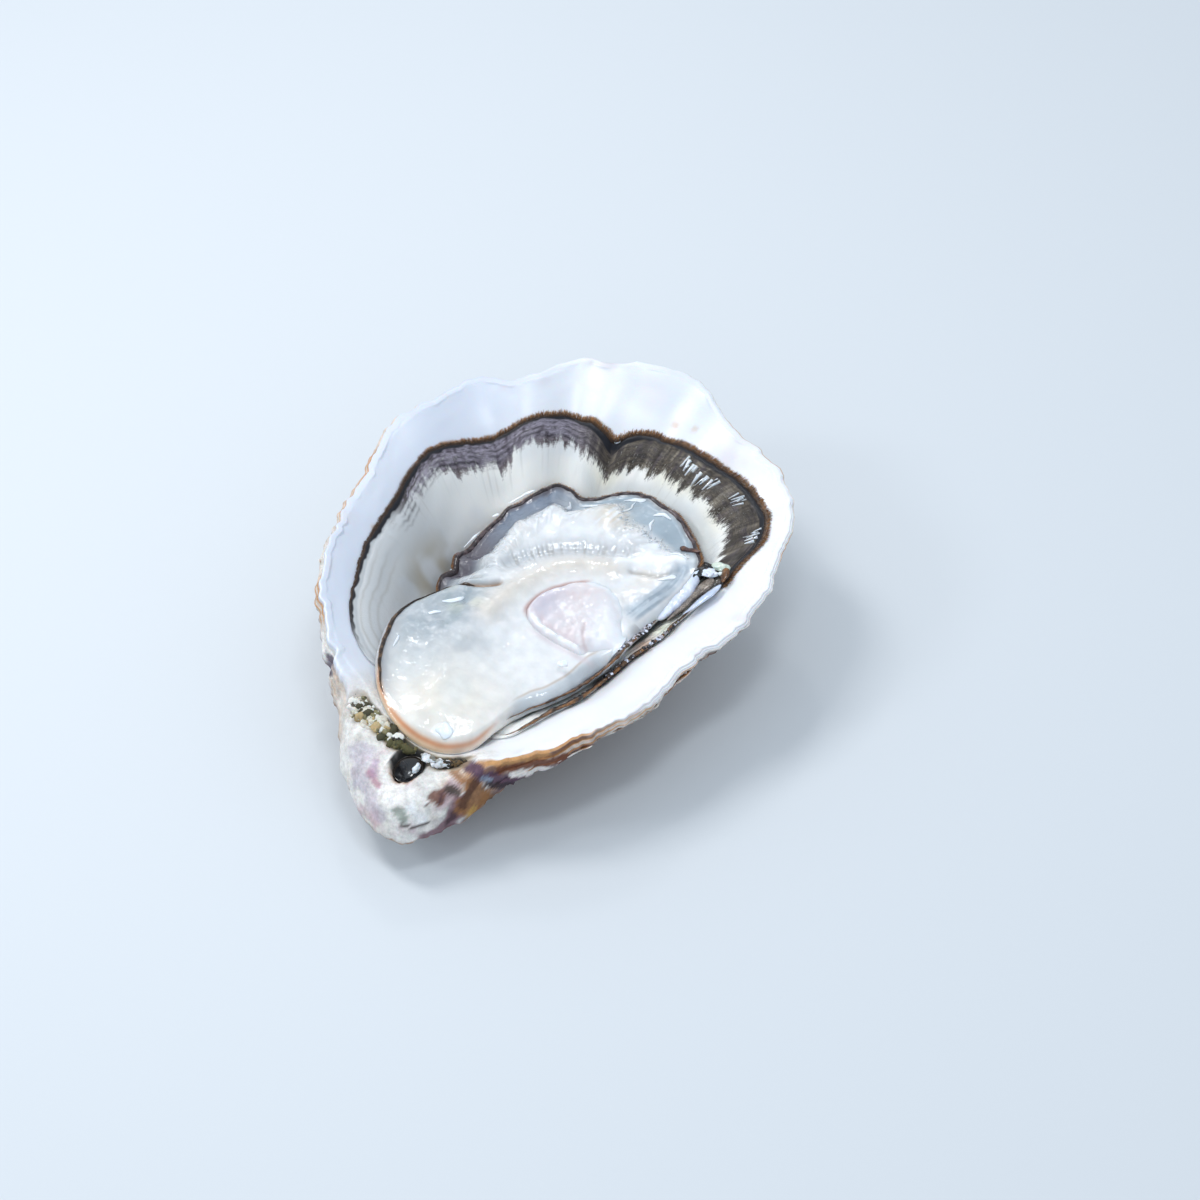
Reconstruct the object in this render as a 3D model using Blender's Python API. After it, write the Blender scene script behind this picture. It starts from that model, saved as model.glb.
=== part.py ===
"""Oyster on the half shell: the cupped valve with its hinge ligament, and the whole animal lying in it.

Sizes are millimetres until a mesh is made, which is in metres. +Y runs from the hinge to the bill, +Z is up,
and the shell stands on a small flat spot under its belly. Every piece is a closed solid drawn in plan as a
closed curve of (degrees, radius) pairs about the middle of the cup, with heights worked out from the cup's wall.
"""

import math

import bmesh
import bpy
import numpy as np

MM = 0.001

# The lie of the shell: the plane of its rim over the belly, tilted so that the bill and one side stand higher.
CUP_MIDDLE = (-6.0, 3.0)
RIM_LEVEL = 29.0
TILT_DEG = 8.0
TILT_TOWARDS_DEG = 115.0

# The valve, in plan: its outermost edge, and how far inside that edge the lip of the cup runs.
OUTER_EDGE = [
    (0, 45.5), (14, 49.5), (29, 53.5), (45, 59), (57, 58), (67, 57), (80, 63), (90, 62), (98, 58.5),
    (105, 59), (114, 53.5), (120, 52), (129, 55), (140, 53), (151, 51.5), (162, 49.5), (171, 46.5),
    (184, 45.5), (200, 47), (217, 48.5), (230, 49.5), (239, 51), (248, 56), (257, 63), (265, 67),
    (272, 67), (278, 61), (284, 53.5), (290, 51), (298, 48.5), (311, 46), (327, 44), (341, 42), (351, 43),
]
LIP_WIDTH = [
    (0, 2.2), (60, 2.2), (130, 3), (160, 3), (205, 2.5), (225, 3), (236, 4), (248, 9.5), (257, 14),
    (265, 16), (272, 16), (278, 11.5), (285, 4.5), (294, 3), (310, 2.2), (340, 2.2),
]
# How far the lip stands above the outermost edge, and above or below the plane of the rim.
EDGE_DROP = [
    (0, 1.2), (60, 1), (130, 2), (160, 2), (200, 2), (225, 4), (240, 8), (255, 11), (270, 11),
    (281, 9), (290, 5), (305, 2.5), (330, 1.5),
]
LIP_RISE = [
    (0, 0.4), (22, 0.5), (36, 0), (46, -0.8), (57, 0.4), (67, 0.8), (80, -0.8), (90, 0), (98, 0.6),
    (105, 0), (117, 0.8), (130, -0.5), (148, 0.4), (165, 0), (185, 0.5), (205, 0), (225, -1), (245, -3),
    (262, -3.5), (278, -3), (295, -1), (312, 0.2), (335, -0.3),
]
# Share of the height climbed at each share of the way out, inside the cup and on the belly.
CUP_WALL = [(0, 0), (0.3, 0.07), (0.55, 0.42), (0.78, 0.80), (0.9, 0.92), (1, 1)]
BELLY_WALL = [(0, 0), (0.28, 0.02), (0.5, 0.27), (0.75, 0.62), (0.9, 0.84), (1, 1)]
CUP_FLOOR = 4.2
BELLY_SUNK = 0.6
# The hollow under the hinge plate, which makes the cup's wall steep there.
HINGE_HOLLOW = {"at": (-10, -40), "reach": (14, 12), "deep": 5.0, "fade": 8}
RIB_COUNT = 7
RIB_HEIGHT = 0.8

# The black horny ligament in its pit on the hinge plate.
PIT_ANGLE_DEG = 266.5
PIT_RADIUS = 55.3
PIT_SIZE = (5.4, 4.4, 3.6)
PIT_BELOW_LIP = 1.6
LIGAMENT_LID = 0.15
PIT_PLAY = 0.35

# The lower mantle lobe lines the cup out to this edge.
MANTLE_EDGE = [
    (0, 30), (8, 31.5), (14, 35), (20, 40), (27, 43.5), (32, 48), (38, 51), (45, 51.5), (53, 50.2),
    (60, 48.3), (68, 47), (77, 47.3), (84, 46.8), (88, 45), (92, 42.8), (96, 43), (100, 43.8),
    (106, 44.5), (113, 42.8), (120, 41), (130, 40.2), (142, 40.4), (152, 40.8), (162, 39.2), (172, 37.2),
    (184, 37), (196, 38.2), (207, 39.3), (218, 41.3), (228, 42.3), (236, 41.8), (244, 39), (254, 37),
    (266, 37), (278, 38.5), (286, 40), (292, 37.5), (300, 33.5), (311, 31), (325, 27), (341, 26.5), (353, 28.5),
]
MANTLE_PLAY = 0.5
MANTLE_THICK = 1.3
FOLD_ANGLE_DEG = 350.0
FOLD_HALF_WIDTH_DEG = 22.0
FOLD_RISE = 1.6

# The body: visceral mass, gills and upper mantle lobe in one soft piece that lies on the lower lobe.
BODY_EDGE = [
    (0, 25.2), (8, 26.5), (15, 29), (21, 32.5), (28, 35.6), (37, 35.3), (46, 35.8), (55, 36.2), (66, 35.6),
    (76, 36), (84, 34.5), (91, 31.5), (97, 30.6), (104, 31.9), (112, 31), (122, 29.2), (135, 27.2),
    (148, 25.2), (160, 24.2), (172, 23), (181, 20.8), (190, 22.8), (202, 26.2), (213, 30), (224, 34.3),
    (233, 38.2), (240, 42), (247, 45.4), (254, 48), (261, 49.8), (270, 50.2), (277, 49), (282, 45.8),
    (288, 40.6), (297, 34), (310, 29), (324, 25.6), (335, 25.4), (348, 25.2),
]
BODY_PLAY = 0.5
BODY_EDGE_THICK = 1.8
BODY_TOP_BELOW_RIM = 5.2
# Rise of the body's top at each distance in from its edge: margin, frilled band, gill groove and inner ridge.
BODY_RISE = [(0, 0), (2, 0.5), (4.5, 0.78), (7.5, 1.0), (10, 0.94), (13, 0.84), (16, 1.0), (20, 1.0), (60, 1.0)]
BODY_LOBES = [
    {"at": (-17, -21), "reach": (12, 16), "rise": 2.4},
    {"at": (-9, -39), "reach": (14, 11), "rise": 2.8},
]
# Beyond the lower lobe's edge the body comes down on the shell, over this distance.
BODY_STEP_DOWN = 5.5

# The adductor muscle: a column that runs up from the floor of the cup and shows as a pale disc.
MUSCLE_AT = (4.6, -2.2)
MUSCLE_EDGE = [(0, 10.6), (45, 10.8), (90, 10.4), (135, 10), (170, 11.4), (205, 10), (250, 9.8), (300, 10.4)]
MUSCLE_PLAY = 0.4
MUSCLE_RISE = 0.5
MUSCLE_DOME = 0.9

# Segments round each piece, and rings from the middle of one face over the edge to the middle of the other.
SHELL_MESH = (84, 26)
MANTLE_MESH = (72, 16)
BODY_MESH = (72, 18)
MUSCLE_MESH = (32, 12)
LIGAMENT_MESH = (24, 8)


def smooth(pairs, x, period=None):
    """The value at x of a smooth curve through (place, value) pairs, closed if it has a period."""
    places, values = np.array(pairs, float).T
    if period:
        x = np.mod(x, period)
        places = np.concatenate([places[-2:] - period, places, places[:2] + period])
        values = np.concatenate([values[-2:], values, values[:2]])
    slopes = np.gradient(values, places)
    i = np.clip(np.searchsorted(places, x, side="right") - 1, 0, len(places) - 2)
    span = places[i + 1] - places[i]
    t = np.clip((x - places[i]) / span, 0, 1)
    ends = values[i] * (1 + 2 * t) * (1 - t) ** 2 + values[i + 1] * t * t * (3 - 2 * t)
    return ends + span * t * (1 - t) * (slopes[i] * (1 - t) - slopes[i + 1] * t)


def spot(angle, radius, middle=CUP_MIDDLE):
    """The plan point at an angle and a radius about a middle."""
    turn = np.radians(angle)
    return middle[0] + radius * np.cos(turn), middle[1] + radius * np.sin(turn)


def polar(x, y, middle=CUP_MIDDLE):
    """The angle in degrees and the radius of a plan point about a middle."""
    across, along = x - middle[0], y - middle[1]
    return np.degrees(np.arctan2(along, across)) % 360, np.hypot(across, along)


def hump(x, y, at, reach):
    """A smooth bump of height 1 at a plan point."""
    return np.exp(-(((x - at[0]) / reach[0]) ** 2) - ((y - at[1]) / reach[1]) ** 2)


def rim_plane(x, y):
    """Height of the tilted plane of the rim."""
    towards = math.radians(TILT_TOWARDS_DEG)
    return RIM_LEVEL + math.tan(math.radians(TILT_DEG)) * (x * math.cos(towards) + y * math.sin(towards))


def lip_radius(angle):
    return smooth(OUTER_EDGE, angle, 360) - smooth(LIP_WIDTH, angle, 360)


def lip_height(angle):
    return rim_plane(*spot(angle, lip_radius(angle))) + smooth(LIP_RISE, angle, 360)


def cup_height(x, y):
    """Height of the cup's inner surface."""
    angle, radius = polar(x, y)
    share = np.clip(radius / lip_radius(angle), 0, 1)
    hollow = HINGE_HOLLOW["deep"] * hump(x, y, HINGE_HOLLOW["at"], HINGE_HOLLOW["reach"])
    return (
        CUP_FLOOR + (lip_height(angle) - CUP_FLOOR) * smooth(CUP_WALL, share)
        - hollow * (1 - share ** HINGE_HOLLOW["fade"])
    )


def belly_height(x, y):
    """Height of the shell's outer surface, cut off flat where it stands."""
    angle, radius = polar(x, y)
    share = np.clip(radius / smooth(OUTER_EDGE, angle, 360), 0, 1)
    edge = lip_height(angle) - smooth(EDGE_DROP, angle, 360)
    ribs = RIB_HEIGHT * np.cos(np.radians(RIB_COUNT * angle)) * np.sin(np.pi * share) ** 2
    return np.maximum(0, (edge + BELLY_SUNK) * smooth(BELLY_WALL, share) - BELLY_SUNK + ribs * (share > 0.3))


def mantle_top(x, y):
    """Height of the lower lobe's upper face, with the fold where the two lobes meet."""
    angle, radius = polar(x, y)
    share = radius / smooth(MANTLE_EDGE, angle, 360)
    off = (angle - FOLD_ANGLE_DEG + 180) % 360 - 180
    fold = FOLD_RISE * np.exp(-((off / FOLD_HALF_WIDTH_DEG) ** 2)) * np.clip((share - 0.75) / 0.15, 0, 1)
    return cup_height(x, y) + MANTLE_PLAY + MANTLE_THICK + fold


def body_low(x, y):
    """Height of the body's underside: on the lower lobe, and past the lobe's edge on the shell."""
    angle, radius = polar(x, y)
    past = radius - smooth(MANTLE_EDGE, angle, 360)
    on_lobe = np.clip(1 - (past - 0.5) / BODY_STEP_DOWN, 0, 1)
    on_shell = cup_height(x, y) + MANTLE_PLAY
    return on_shell + (mantle_top(x, y) + BODY_PLAY - on_shell) * on_lobe


def body_top(x, y):
    """Height of the body's upper face: it climbs from its edge to a level a little below the rim."""
    angle, radius = polar(x, y)
    edge_radius = smooth(BODY_EDGE, angle, 360)
    inwards = np.clip(edge_radius - radius, 0, None)
    edge = body_low(*spot(angle, edge_radius)) + BODY_EDGE_THICK
    crown = rim_plane(x, y) - BODY_TOP_BELOW_RIM
    for lobe in BODY_LOBES:
        crown = crown + lobe["rise"] * hump(x, y, lobe["at"], lobe["reach"])
    return edge + (crown - edge) * smooth(BODY_RISE, inwards)


def principled(name, colour, roughness, coat=0.0):
    """A plain material for one sub-part. Nothing on an oyster is metal."""
    material = bpy.data.materials.new(name)
    material.use_nodes = True
    shader = material.node_tree.nodes["Principled BSDF"]
    shader.inputs["Base Color"].default_value = (*colour, 1)
    shader.inputs["Roughness"].default_value = roughness
    shader.inputs["Metallic"].default_value = 0.0
    shader.inputs["Coat Weight"].default_value = coat
    return material


def lens(name, size, place, material, collection):
    """A closed solid made from a ball of size (segments, rings). Each of its points goes where place(angle, level)
    says, with level 0 at the outermost edge, 1 in the middle of the upper face and -1 in the middle of the lower."""
    ball = bmesh.new()
    bmesh.ops.create_uvsphere(ball, u_segments=size[0], v_segments=size[1], radius=1)
    points = np.array([vertex.co for vertex in ball.verts])
    angle = np.degrees(np.arctan2(points[:, 1], points[:, 0])) % 360
    level = np.arcsin(np.clip(points[:, 2], -1, 1)) / (np.pi / 2)
    level[np.abs(level) < 1e-4] = 0
    moved = np.stack(place(angle, level), 1) * MM
    for vertex, point in zip(ball.verts, moved):
        vertex.co = point
    mesh = bpy.data.meshes.new(name)
    ball.to_mesh(mesh)
    ball.free()
    mesh.shade_smooth()
    mesh.materials.append(material)
    made = bpy.data.objects.new(name, mesh)
    collection.objects.link(made)
    return made


def between(edge_radius, low, high, round_over):
    """A place function for a solid between two height functions inside a plan curve, its edge rounded over."""

    def place(angle, level):
        inwards = edge_radius(angle) * np.abs(level) ** 1.4
        x, y = spot(angle, edge_radius(angle) - inwards)
        bottom, top = low(x, y), high(x, y)
        lean = np.sqrt(np.clip(1 - (1 - np.clip(inwards / round_over, 0, 1)) ** 2, 0, 1))
        middle = (bottom + top) / 2
        return x, y, np.where(level > 0, middle + (top - middle) * lean, middle + (bottom - middle) * lean)

    return place


def shell_place(angle, level):
    """The valve: the upper half goes over the lip and down into the cup, the lower half makes the belly."""
    outer, lip = smooth(OUTER_EDGE, angle, 360), lip_radius(angle)
    drop = smooth(EDGE_DROP, angle, 360)
    over_lip = 0.3
    turn = np.clip(1 - level / over_lip, 0, 1) * np.pi / 2
    lip_x, lip_y = spot(angle, lip + (outer - lip) * np.sin(turn))
    lip_z = lip_height(angle) - drop * (1 - np.cos(turn))
    cup_x, cup_y = spot(angle, lip * (1 - np.clip((level - over_lip) / (1 - over_lip), 0, 1)))
    cup_z = cup_height(cup_x, cup_y)
    belly_x, belly_y = spot(angle, outer * (1 - np.clip(-level, 0, 1) ** 1.15))
    belly_z = belly_height(belly_x, belly_y)
    on_lip, in_cup = (level >= 0) & (level <= over_lip), level > over_lip
    x = np.where(in_cup, cup_x, np.where(on_lip, lip_x, belly_x))
    y = np.where(in_cup, cup_y, np.where(on_lip, lip_y, belly_y))
    z = np.where(in_cup, cup_z, np.where(on_lip, lip_z, belly_z))
    return x, y, z


def pit_middle():
    x, y = spot(PIT_ANGLE_DEG, PIT_RADIUS)
    return x, y, lip_height(PIT_ANGLE_DEG) - PIT_BELOW_LIP


def ellipsoid_place(middle, size, lid):
    """A place function for an ellipsoid whose upper half is flattened to a share of its height."""

    def place(angle, level):
        up, turn = level * np.pi / 2, np.radians(angle)
        z = size[2] * np.sin(up) * np.where(level > 0, lid, 1)
        return (
            middle[0] + size[0] * np.cos(up) * np.cos(turn),
            middle[1] + size[1] * np.cos(up) * np.sin(turn),
            middle[2] + z,
        )

    return place


def muscle_place(play, low, high):
    """A place function for the muscle's column, or for the hole that leaves it some play."""

    def place(angle, level):
        radius = smooth(MUSCLE_EDGE, angle, 360) + play
        wall = 0.35
        share = 1 - np.clip((np.abs(level) - wall) / (1 - wall), 0, 1)
        x, y = spot(angle, radius * share, MUSCLE_AT)
        bottom, top = low(x, y), high(x, y)
        middle = (bottom + top) / 2
        lean = np.clip(np.abs(level) / wall, 0, 1)
        return x, y, np.where(level > 0, middle + (top - middle) * lean, middle + (bottom - middle) * lean)

    return place


def muscle_top(x, y):
    _, radius = polar(x, y, MUSCLE_AT)
    dome = MUSCLE_DOME * np.clip(1 - (radius / 11.5) ** 2, 0, 1)
    return body_top(x, y) + MUSCLE_RISE + dome


def cut(target, cutter, collection):
    """Cuts the cutter out of the target, and puts the cutter away."""
    modifier = target.modifiers.new("cut by " + cutter.name, "BOOLEAN")
    modifier.operation = "DIFFERENCE"
    modifier.object = cutter
    if cutter.name not in collection.objects:
        for held in list(cutter.users_collection):
            held.objects.unlink(cutter)
        collection.objects.link(cutter)
    cutter.hide_render = True
    cutter.display_type = "WIRE"


def centre_on_origin(objects):
    """Moves the meshes so that the middle of the shell's plan box is at the origin."""
    shell = np.array([vertex.co for vertex in objects[0].data.vertices])
    middle = (shell.min(0) + shell.max(0)) / 2
    for item in objects:
        for vertex in item.data.vertices:
            vertex.co.x -= middle[0]
            vertex.co.y -= middle[1]


def main():
    for item in list(bpy.data.objects):
        bpy.data.objects.remove(item)
    oyster = bpy.data.collections.new("oyster_on_the_half_shell")
    cutters = bpy.data.collections.new("cutters")
    bpy.context.scene.collection.children.link(oyster)
    bpy.context.scene.collection.children.link(cutters)
    cutters.hide_render = True

    nacre = principled("nacre and chalk", (0.86, 0.86, 0.88), 0.35, 0.3)
    horn = principled("horn", (0.02, 0.018, 0.02), 0.2, 0.5)
    lining = principled("mantle", (0.55, 0.50, 0.43), 0.2, 0.6)
    flesh = principled("flesh", (0.78, 0.74, 0.66), 0.15, 0.8)
    muscle_flesh = principled("muscle", (0.85, 0.72, 0.70), 0.2, 0.6)

    shell = lens("shell", SHELL_MESH, shell_place, nacre, oyster)
    pit = lens("ligament_pit", LIGAMENT_MESH, ellipsoid_place(pit_middle(), PIT_SIZE, 1), horn, cutters)
    cut(shell, pit, cutters)
    smaller = [side - PIT_PLAY for side in PIT_SIZE]
    ligament = lens("ligament", LIGAMENT_MESH, ellipsoid_place(pit_middle(), smaller, LIGAMENT_LID), horn, oyster)

    def mantle_low(x, y):
        return cup_height(x, y) + MANTLE_PLAY

    def mantle_radius(angle):
        return smooth(MANTLE_EDGE, angle, 360)

    def body_radius(angle):
        return smooth(BODY_EDGE, angle, 360)

    lower_mantle = lens(
        "lower_mantle", MANTLE_MESH, between(mantle_radius, mantle_low, mantle_top, 1.5), lining, oyster
    )
    body = lens("body", BODY_MESH, between(body_radius, body_low, body_top, 3.0), flesh, oyster)
    hole = lens(
        "muscle_hole", MUSCLE_MESH,
        muscle_place(MUSCLE_PLAY, lambda x, y: cup_height(x, y) - 3, lambda x, y: body_top(x, y) + 5),
        flesh, cutters,
    )
    cut(lower_mantle, hole, cutters)
    cut(body, hole, cutters)
    muscle = lens("adductor_muscle", MUSCLE_MESH, muscle_place(0, mantle_low, muscle_top), muscle_flesh, oyster)
    centre_on_origin([shell, pit, ligament, lower_mantle, body, hole, muscle])


main()
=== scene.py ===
"""Looks of a raw oyster on the half shell: the cupped valve, the horny ligament, and the whole wet animal.

Sizes are millimetres until a mesh is made, which is in metres. Plan curves are (degrees, radius) pairs about the
middle of the cup, with +Y towards the bill and -Y towards the hinge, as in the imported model.
"""

import itertools
import math

import bmesh
import bpy
import numpy as np
from mathutils import Matrix, Vector


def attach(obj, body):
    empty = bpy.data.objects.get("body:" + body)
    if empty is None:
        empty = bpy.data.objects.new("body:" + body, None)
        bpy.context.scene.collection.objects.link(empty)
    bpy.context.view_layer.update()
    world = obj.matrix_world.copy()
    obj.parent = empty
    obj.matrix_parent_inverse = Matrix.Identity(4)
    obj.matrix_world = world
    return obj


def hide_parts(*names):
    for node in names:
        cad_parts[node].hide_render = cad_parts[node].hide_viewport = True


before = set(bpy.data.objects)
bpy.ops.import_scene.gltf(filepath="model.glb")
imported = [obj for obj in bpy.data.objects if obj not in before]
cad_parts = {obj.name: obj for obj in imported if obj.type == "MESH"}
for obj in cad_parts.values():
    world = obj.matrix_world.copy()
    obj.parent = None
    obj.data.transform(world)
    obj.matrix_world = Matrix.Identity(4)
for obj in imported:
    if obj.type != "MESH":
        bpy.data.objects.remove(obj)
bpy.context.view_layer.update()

# ---------------------------------------------------------------------------------------------------------------
# The cupped valve. Chalk and nacre laid down by the animal in sheets, each new one a little wider than the last.
# Inside it is smooth, white and softly shining; outside, the edges of the old sheets stand out as ragged growth
# lamellae, worn to chalk on the knob at the hinge.

MM = 0.001
CUP_MIDDLE = (-0.518, 2.437)
RIM_LEVEL = 29.397
TILT_DEG = 8.0
TILT_TOWARDS_DEG = 115.0
OUTER_EDGE = [
    (0, 45.5), (14, 49.5), (29, 53.5), (45, 59), (57, 58), (67, 57), (80, 63), (90, 62), (98, 58.5),
    (105, 59), (114, 53.5), (120, 52), (129, 55), (140, 53), (151, 51.5), (162, 49.5), (171, 46.5),
    (184, 45.5), (200, 47), (217, 48.5), (230, 49.5), (239, 51), (248, 56), (257, 63), (265, 67),
    (272, 67), (278, 61), (284, 53.5), (290, 51), (298, 48.5), (311, 46), (327, 44), (341, 42), (351, 43),
]
LIP_WIDTH = [
    (0, 2.2), (60, 2.2), (130, 3), (160, 3), (205, 2.5), (225, 3), (236, 4), (248, 9.5), (257, 14),
    (265, 16), (272, 16), (278, 11.5), (285, 4.5), (294, 3), (310, 2.2), (340, 2.2),
]
EDGE_DROP = [
    (0, 1.2), (60, 1), (130, 2), (160, 2), (200, 2), (225, 4), (240, 8), (255, 11), (270, 11),
    (281, 9), (290, 5), (305, 2.5), (330, 1.5),
]
LIP_RISE = [
    (0, 0.4), (22, 0.5), (36, 0), (46, -0.8), (57, 0.4), (67, 0.8), (80, -0.8), (90, 0), (98, 0.6),
    (105, 0), (117, 0.8), (130, -0.5), (148, 0.4), (165, 0), (185, 0.5), (205, 0), (225, -1), (245, -3),
    (262, -3.5), (278, -3), (295, -1), (312, 0.2), (335, -0.3),
]
CUP_WALL = [(0, 0), (0.3, 0.07), (0.55, 0.42), (0.78, 0.80), (0.9, 0.92), (1, 1)]
BELLY_WALL = [(0, 0), (0.28, 0.02), (0.5, 0.27), (0.75, 0.62), (0.9, 0.84), (1, 1)]
CUP_FLOOR = 4.2
BELLY_SUNK = 0.6
HINGE_HOLLOW = {"at": (-4.518, -40.563), "reach": (14, 12), "deep": 5.0, "fade": 8}
RIB_COUNT = 7
RIB_HEIGHT = 0.8
PIT_ANGLE_DEG = 266.5
PIT_RADIUS = 55.3
PIT_HALF_HEIGHT = 3.6
PIT_BELOW_LIP = 1.6
# The open hole in the pit, half its width and length: crust and chalk have grown over its sides.
PIT_HOLE = (3.3, 4.1)
PIT_DEEP = 4.4
# Where the nacre gives way to the rough hinge plate and the knob, by angle.
PLATE = [(0, 0), (238, 0), (247, 1), (281, 1), (287, 0), (300, 0)]
# From the lip to the outermost edge: the thin edge of the nacre, then the edges of two older sheets under it.
SHEET_EDGES_OUT = [(0, 0), (0.3, 0.5), (0.42, 0.62), (0.5, 0.64), (0.62, 0.8), (0.68, 0.82), (0.85, 0.98), (1, 1)]
SHEET_EDGES_DROP = [
    (0, 0), (0.3, -0.06), (0.42, 0.02), (0.5, 0.3), (0.62, 0.34), (0.68, 0.6), (0.85, 0.66), (1, 1),
]
# The umbo, where the shell began and from which it grew.
UMBO_ANGLE_DEG = 267.0
UMBO_RADIUS = 57.0
# Radius of the circle on which the unevenness of the rim is drawn, so that it runs along the edge.
RIM_RING = 46
# Stains: place, reach, colour and strength.
NACRE_STAINS = [
    ((-9.5, 59.0), 2.0, "#B9AEB8", 0.55), ((-13.5, 57.5), 1.3, "#A9A6AD", 0.5), ((25, 46.5), 4.0, "#CFC4CB", 0.5),
    ((9.5, 52.5), 0.8, "#B98F63", 0.7), ((14.5, 52.0), 0.7, "#C09A70", 0.6), ((-36.5, 7.5), 0.6, "#A98A66", 0.7),
    ((-38, -2), 0.6, "#A98A66", 0.6), ((2, 57), 3.0, "#DDD6DC", 0.5),
]
# Swellings of the knob round the pit: place, reach and height.
KNOB_SWELLS = [
    ((-12.5, -55.5), (3, 3.4), 1.1), ((2.6, -56.5), (3, 3), 0.9), ((-3.5, -60.5), (4, 2.4), 0.7),
    ((-5.0, -57.6), (5, 0.8), -0.5), ((7.5, -55.0), (1.2, 4), -0.9), ((-17.5, -50), (2.5, 3), 0.8),
]
KNOB_STAINS = [
    # places along the stain, half width, colour and strength
    ([(-6, -58.5, 17.5), (-1, -60, 17)], 3.2, "#FBF7F2", 0.9),
    ([(-14.5, -53.5, 17.8), (-12.5, -57.5, 16)], 2.6, "#BFB4C6", 0.55),
    ([(-9.5, -60, 15.2), (-6, -62.5, 13)], 1.8, "#C3B7C6", 0.5),
    ([(-10.7, -57, 18.1), (-8.2, -58.4, 17)], 0.8, "#C07F94", 0.7),
    ([(-10.6, -54.6, 18.8), (-9.9, -57, 18.2)], 0.7, "#BFA0BC", 0.6),
    ([(0.5, -60.5, 16.2), (3, -60.8, 14.5)], 1.3, "#FFFFFF", 0.85),
    ([(-0.2, -62.8, 15.1), (-1.8, -62.2, 15.9)], 1.3, "#8F998F", 0.8),
    ([(3.7, -57.1, 17.3), (5.2, -55.8, 17.6), (5.4, -56.8, 16.6)], 0.9, "#80584A", 0.95),
    ([(5.2, -55.9, 17.5), (5.5, -56.8, 16.6)], 0.5, "#573A40", 0.9),
    ([(3.4, -58.8, 16.4)], 0.55, "#6E5450", 0.9),
    ([(0.1, -63.5, 13.8), (1.7, -62.9, 13.2), (3, -61.5, 12.8), (4.1, -60.4, 13)], 0.38, "#4A403C", 0.95),
    ([(9.3, -54.4, 15.7), (8.4, -56, 13.4), (7.2, -57.4, 11.4), (6.2, -59.6, 11), (4.2, -61.3, 9.5)],
     1.6, "#80606A", 0.92),
    ([(9.3, -54.4, 15.7), (8.4, -56, 13.4), (7.2, -57.4, 11.4)], 0.7, "#4A343C", 0.9),
    ([(6.5, -60.5, 8.5), (3, -63, 8), (-2, -64.5, 8.5)], 1.2, "#9A6C42", 0.85),
    ([(6, -53.7, 18), (7.6, -53.3, 17.2)], 0.8, "#463C34", 0.92),
    ([(5.6, -50.1, 18.9), (7.6, -51, 18.6)], 0.9, "#A87448", 0.85),
    ([(14, -50, 12), (18, -47, 12.5), (22, -43.5, 13.5)], 2.6, "#7C5634", 0.92),
    ([(10.2, -51.4, 17.4), (12.1, -50.4, 14.4), (10.2, -54.4, 14.2)], 2.1, "#94653A", 0.95),
    ([(10.2, -50.1, 17.9), (9.8, -53.1, 16.7), (9.5, -54.8, 14.9)], 0.8, "#563626", 0.92),
    ([(11.5, -53.5, 13), (11, -55, 11.5)], 0.9, "#C0964E", 0.9),
    ([(16, -49.5, 10.5), (12, -54.5, 9), (9, -58, 8)], 1.6, "#6A4A44", 0.9),
    ([(13.5, -51, 12.5), (17, -48.2, 12)], 0.6, "#B98A52", 0.85),
    ([(6, -47.6, 19), (9.3, -48.1, 19.8), (12.1, -47.7, 18.5), (15.1, -46.3, 17.3), (17.4, -45, 17.7)],
     1.4, "#5C4258", 0.95),
    ([(12.2, -48.6, 16.7), (15.4, -46.2, 15.7), (19, -43.5, 16), (23, -40.5, 16.5)], 0.9, "#382A32", 0.95),
    ([(11.2, -48.5, 18.4), (12.8, -47.9, 17.8)], 0.6, "#8E9AAE", 0.9),
    ([(11.5, -45.9, 20.8), (14.9, -45, 21.2), (17.3, -43.6, 21.8), (22, -40, 22.2)], 0.8, "#CB9862", 0.85),
    ([(14.2, -45.9, 19.6), (17.5, -44.3, 20.2), (22, -41, 20.6), (27.5, -36.5, 21.2), (32, -31, 22)],
     0.9, "#74412A", 0.92),
    ([(16.3, -45.1, 18.2), (19.5, -43.2, 18.6), (24, -40, 19)], 0.8, "#F3EEEA", 0.95),
    ([(-30, -36.5, 21.5), (-31, -34, 22)], 1.6, "#5E5064", 0.85),
]
# The line along which the two valves met at the hinge.
HINGE_SEAM = [
    (-20.5, -43.0), (-16.8, -45.0), (-12.6, -46.6), (-8.6, -48.2), (-4.8, -49.2), (0.0, -49.2), (3.2, -48.2),
    (5.6, -46.2),
]
# Growth lines, as shares of the way from the umbo to the outermost edge, and how far each sheet stands out there.
GROWTH_LINES = [
    0.0, 0.2, 0.32, 0.42, 0.5, 0.575, 0.64, 0.70, 0.755, 0.80, 0.84, 0.875, 0.905, 0.935, 0.96, 0.985, 1.05,
]
LAMELLA_STEP = 1.25


def smooth(pairs, x, period=None):
    """The value at x of a smooth curve through (place, value) pairs, closed if it has a period."""
    places, values = np.array(pairs, float).T
    if period:
        x = np.mod(x, period)
        places = np.concatenate([places[-2:] - period, places, places[:2] + period])
        values = np.concatenate([values[-2:], values, values[:2]])
    slopes = np.gradient(values, places)
    i = np.clip(np.searchsorted(places, x, side="right") - 1, 0, len(places) - 2)
    span = places[i + 1] - places[i]
    t = np.clip((x - places[i]) / span, 0, 1)
    ends = values[i] * (1 + 2 * t) * (1 - t) ** 2 + values[i + 1] * t * t * (3 - 2 * t)
    return ends + span * t * (1 - t) * (slopes[i] * (1 - t) - slopes[i + 1] * t)


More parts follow.
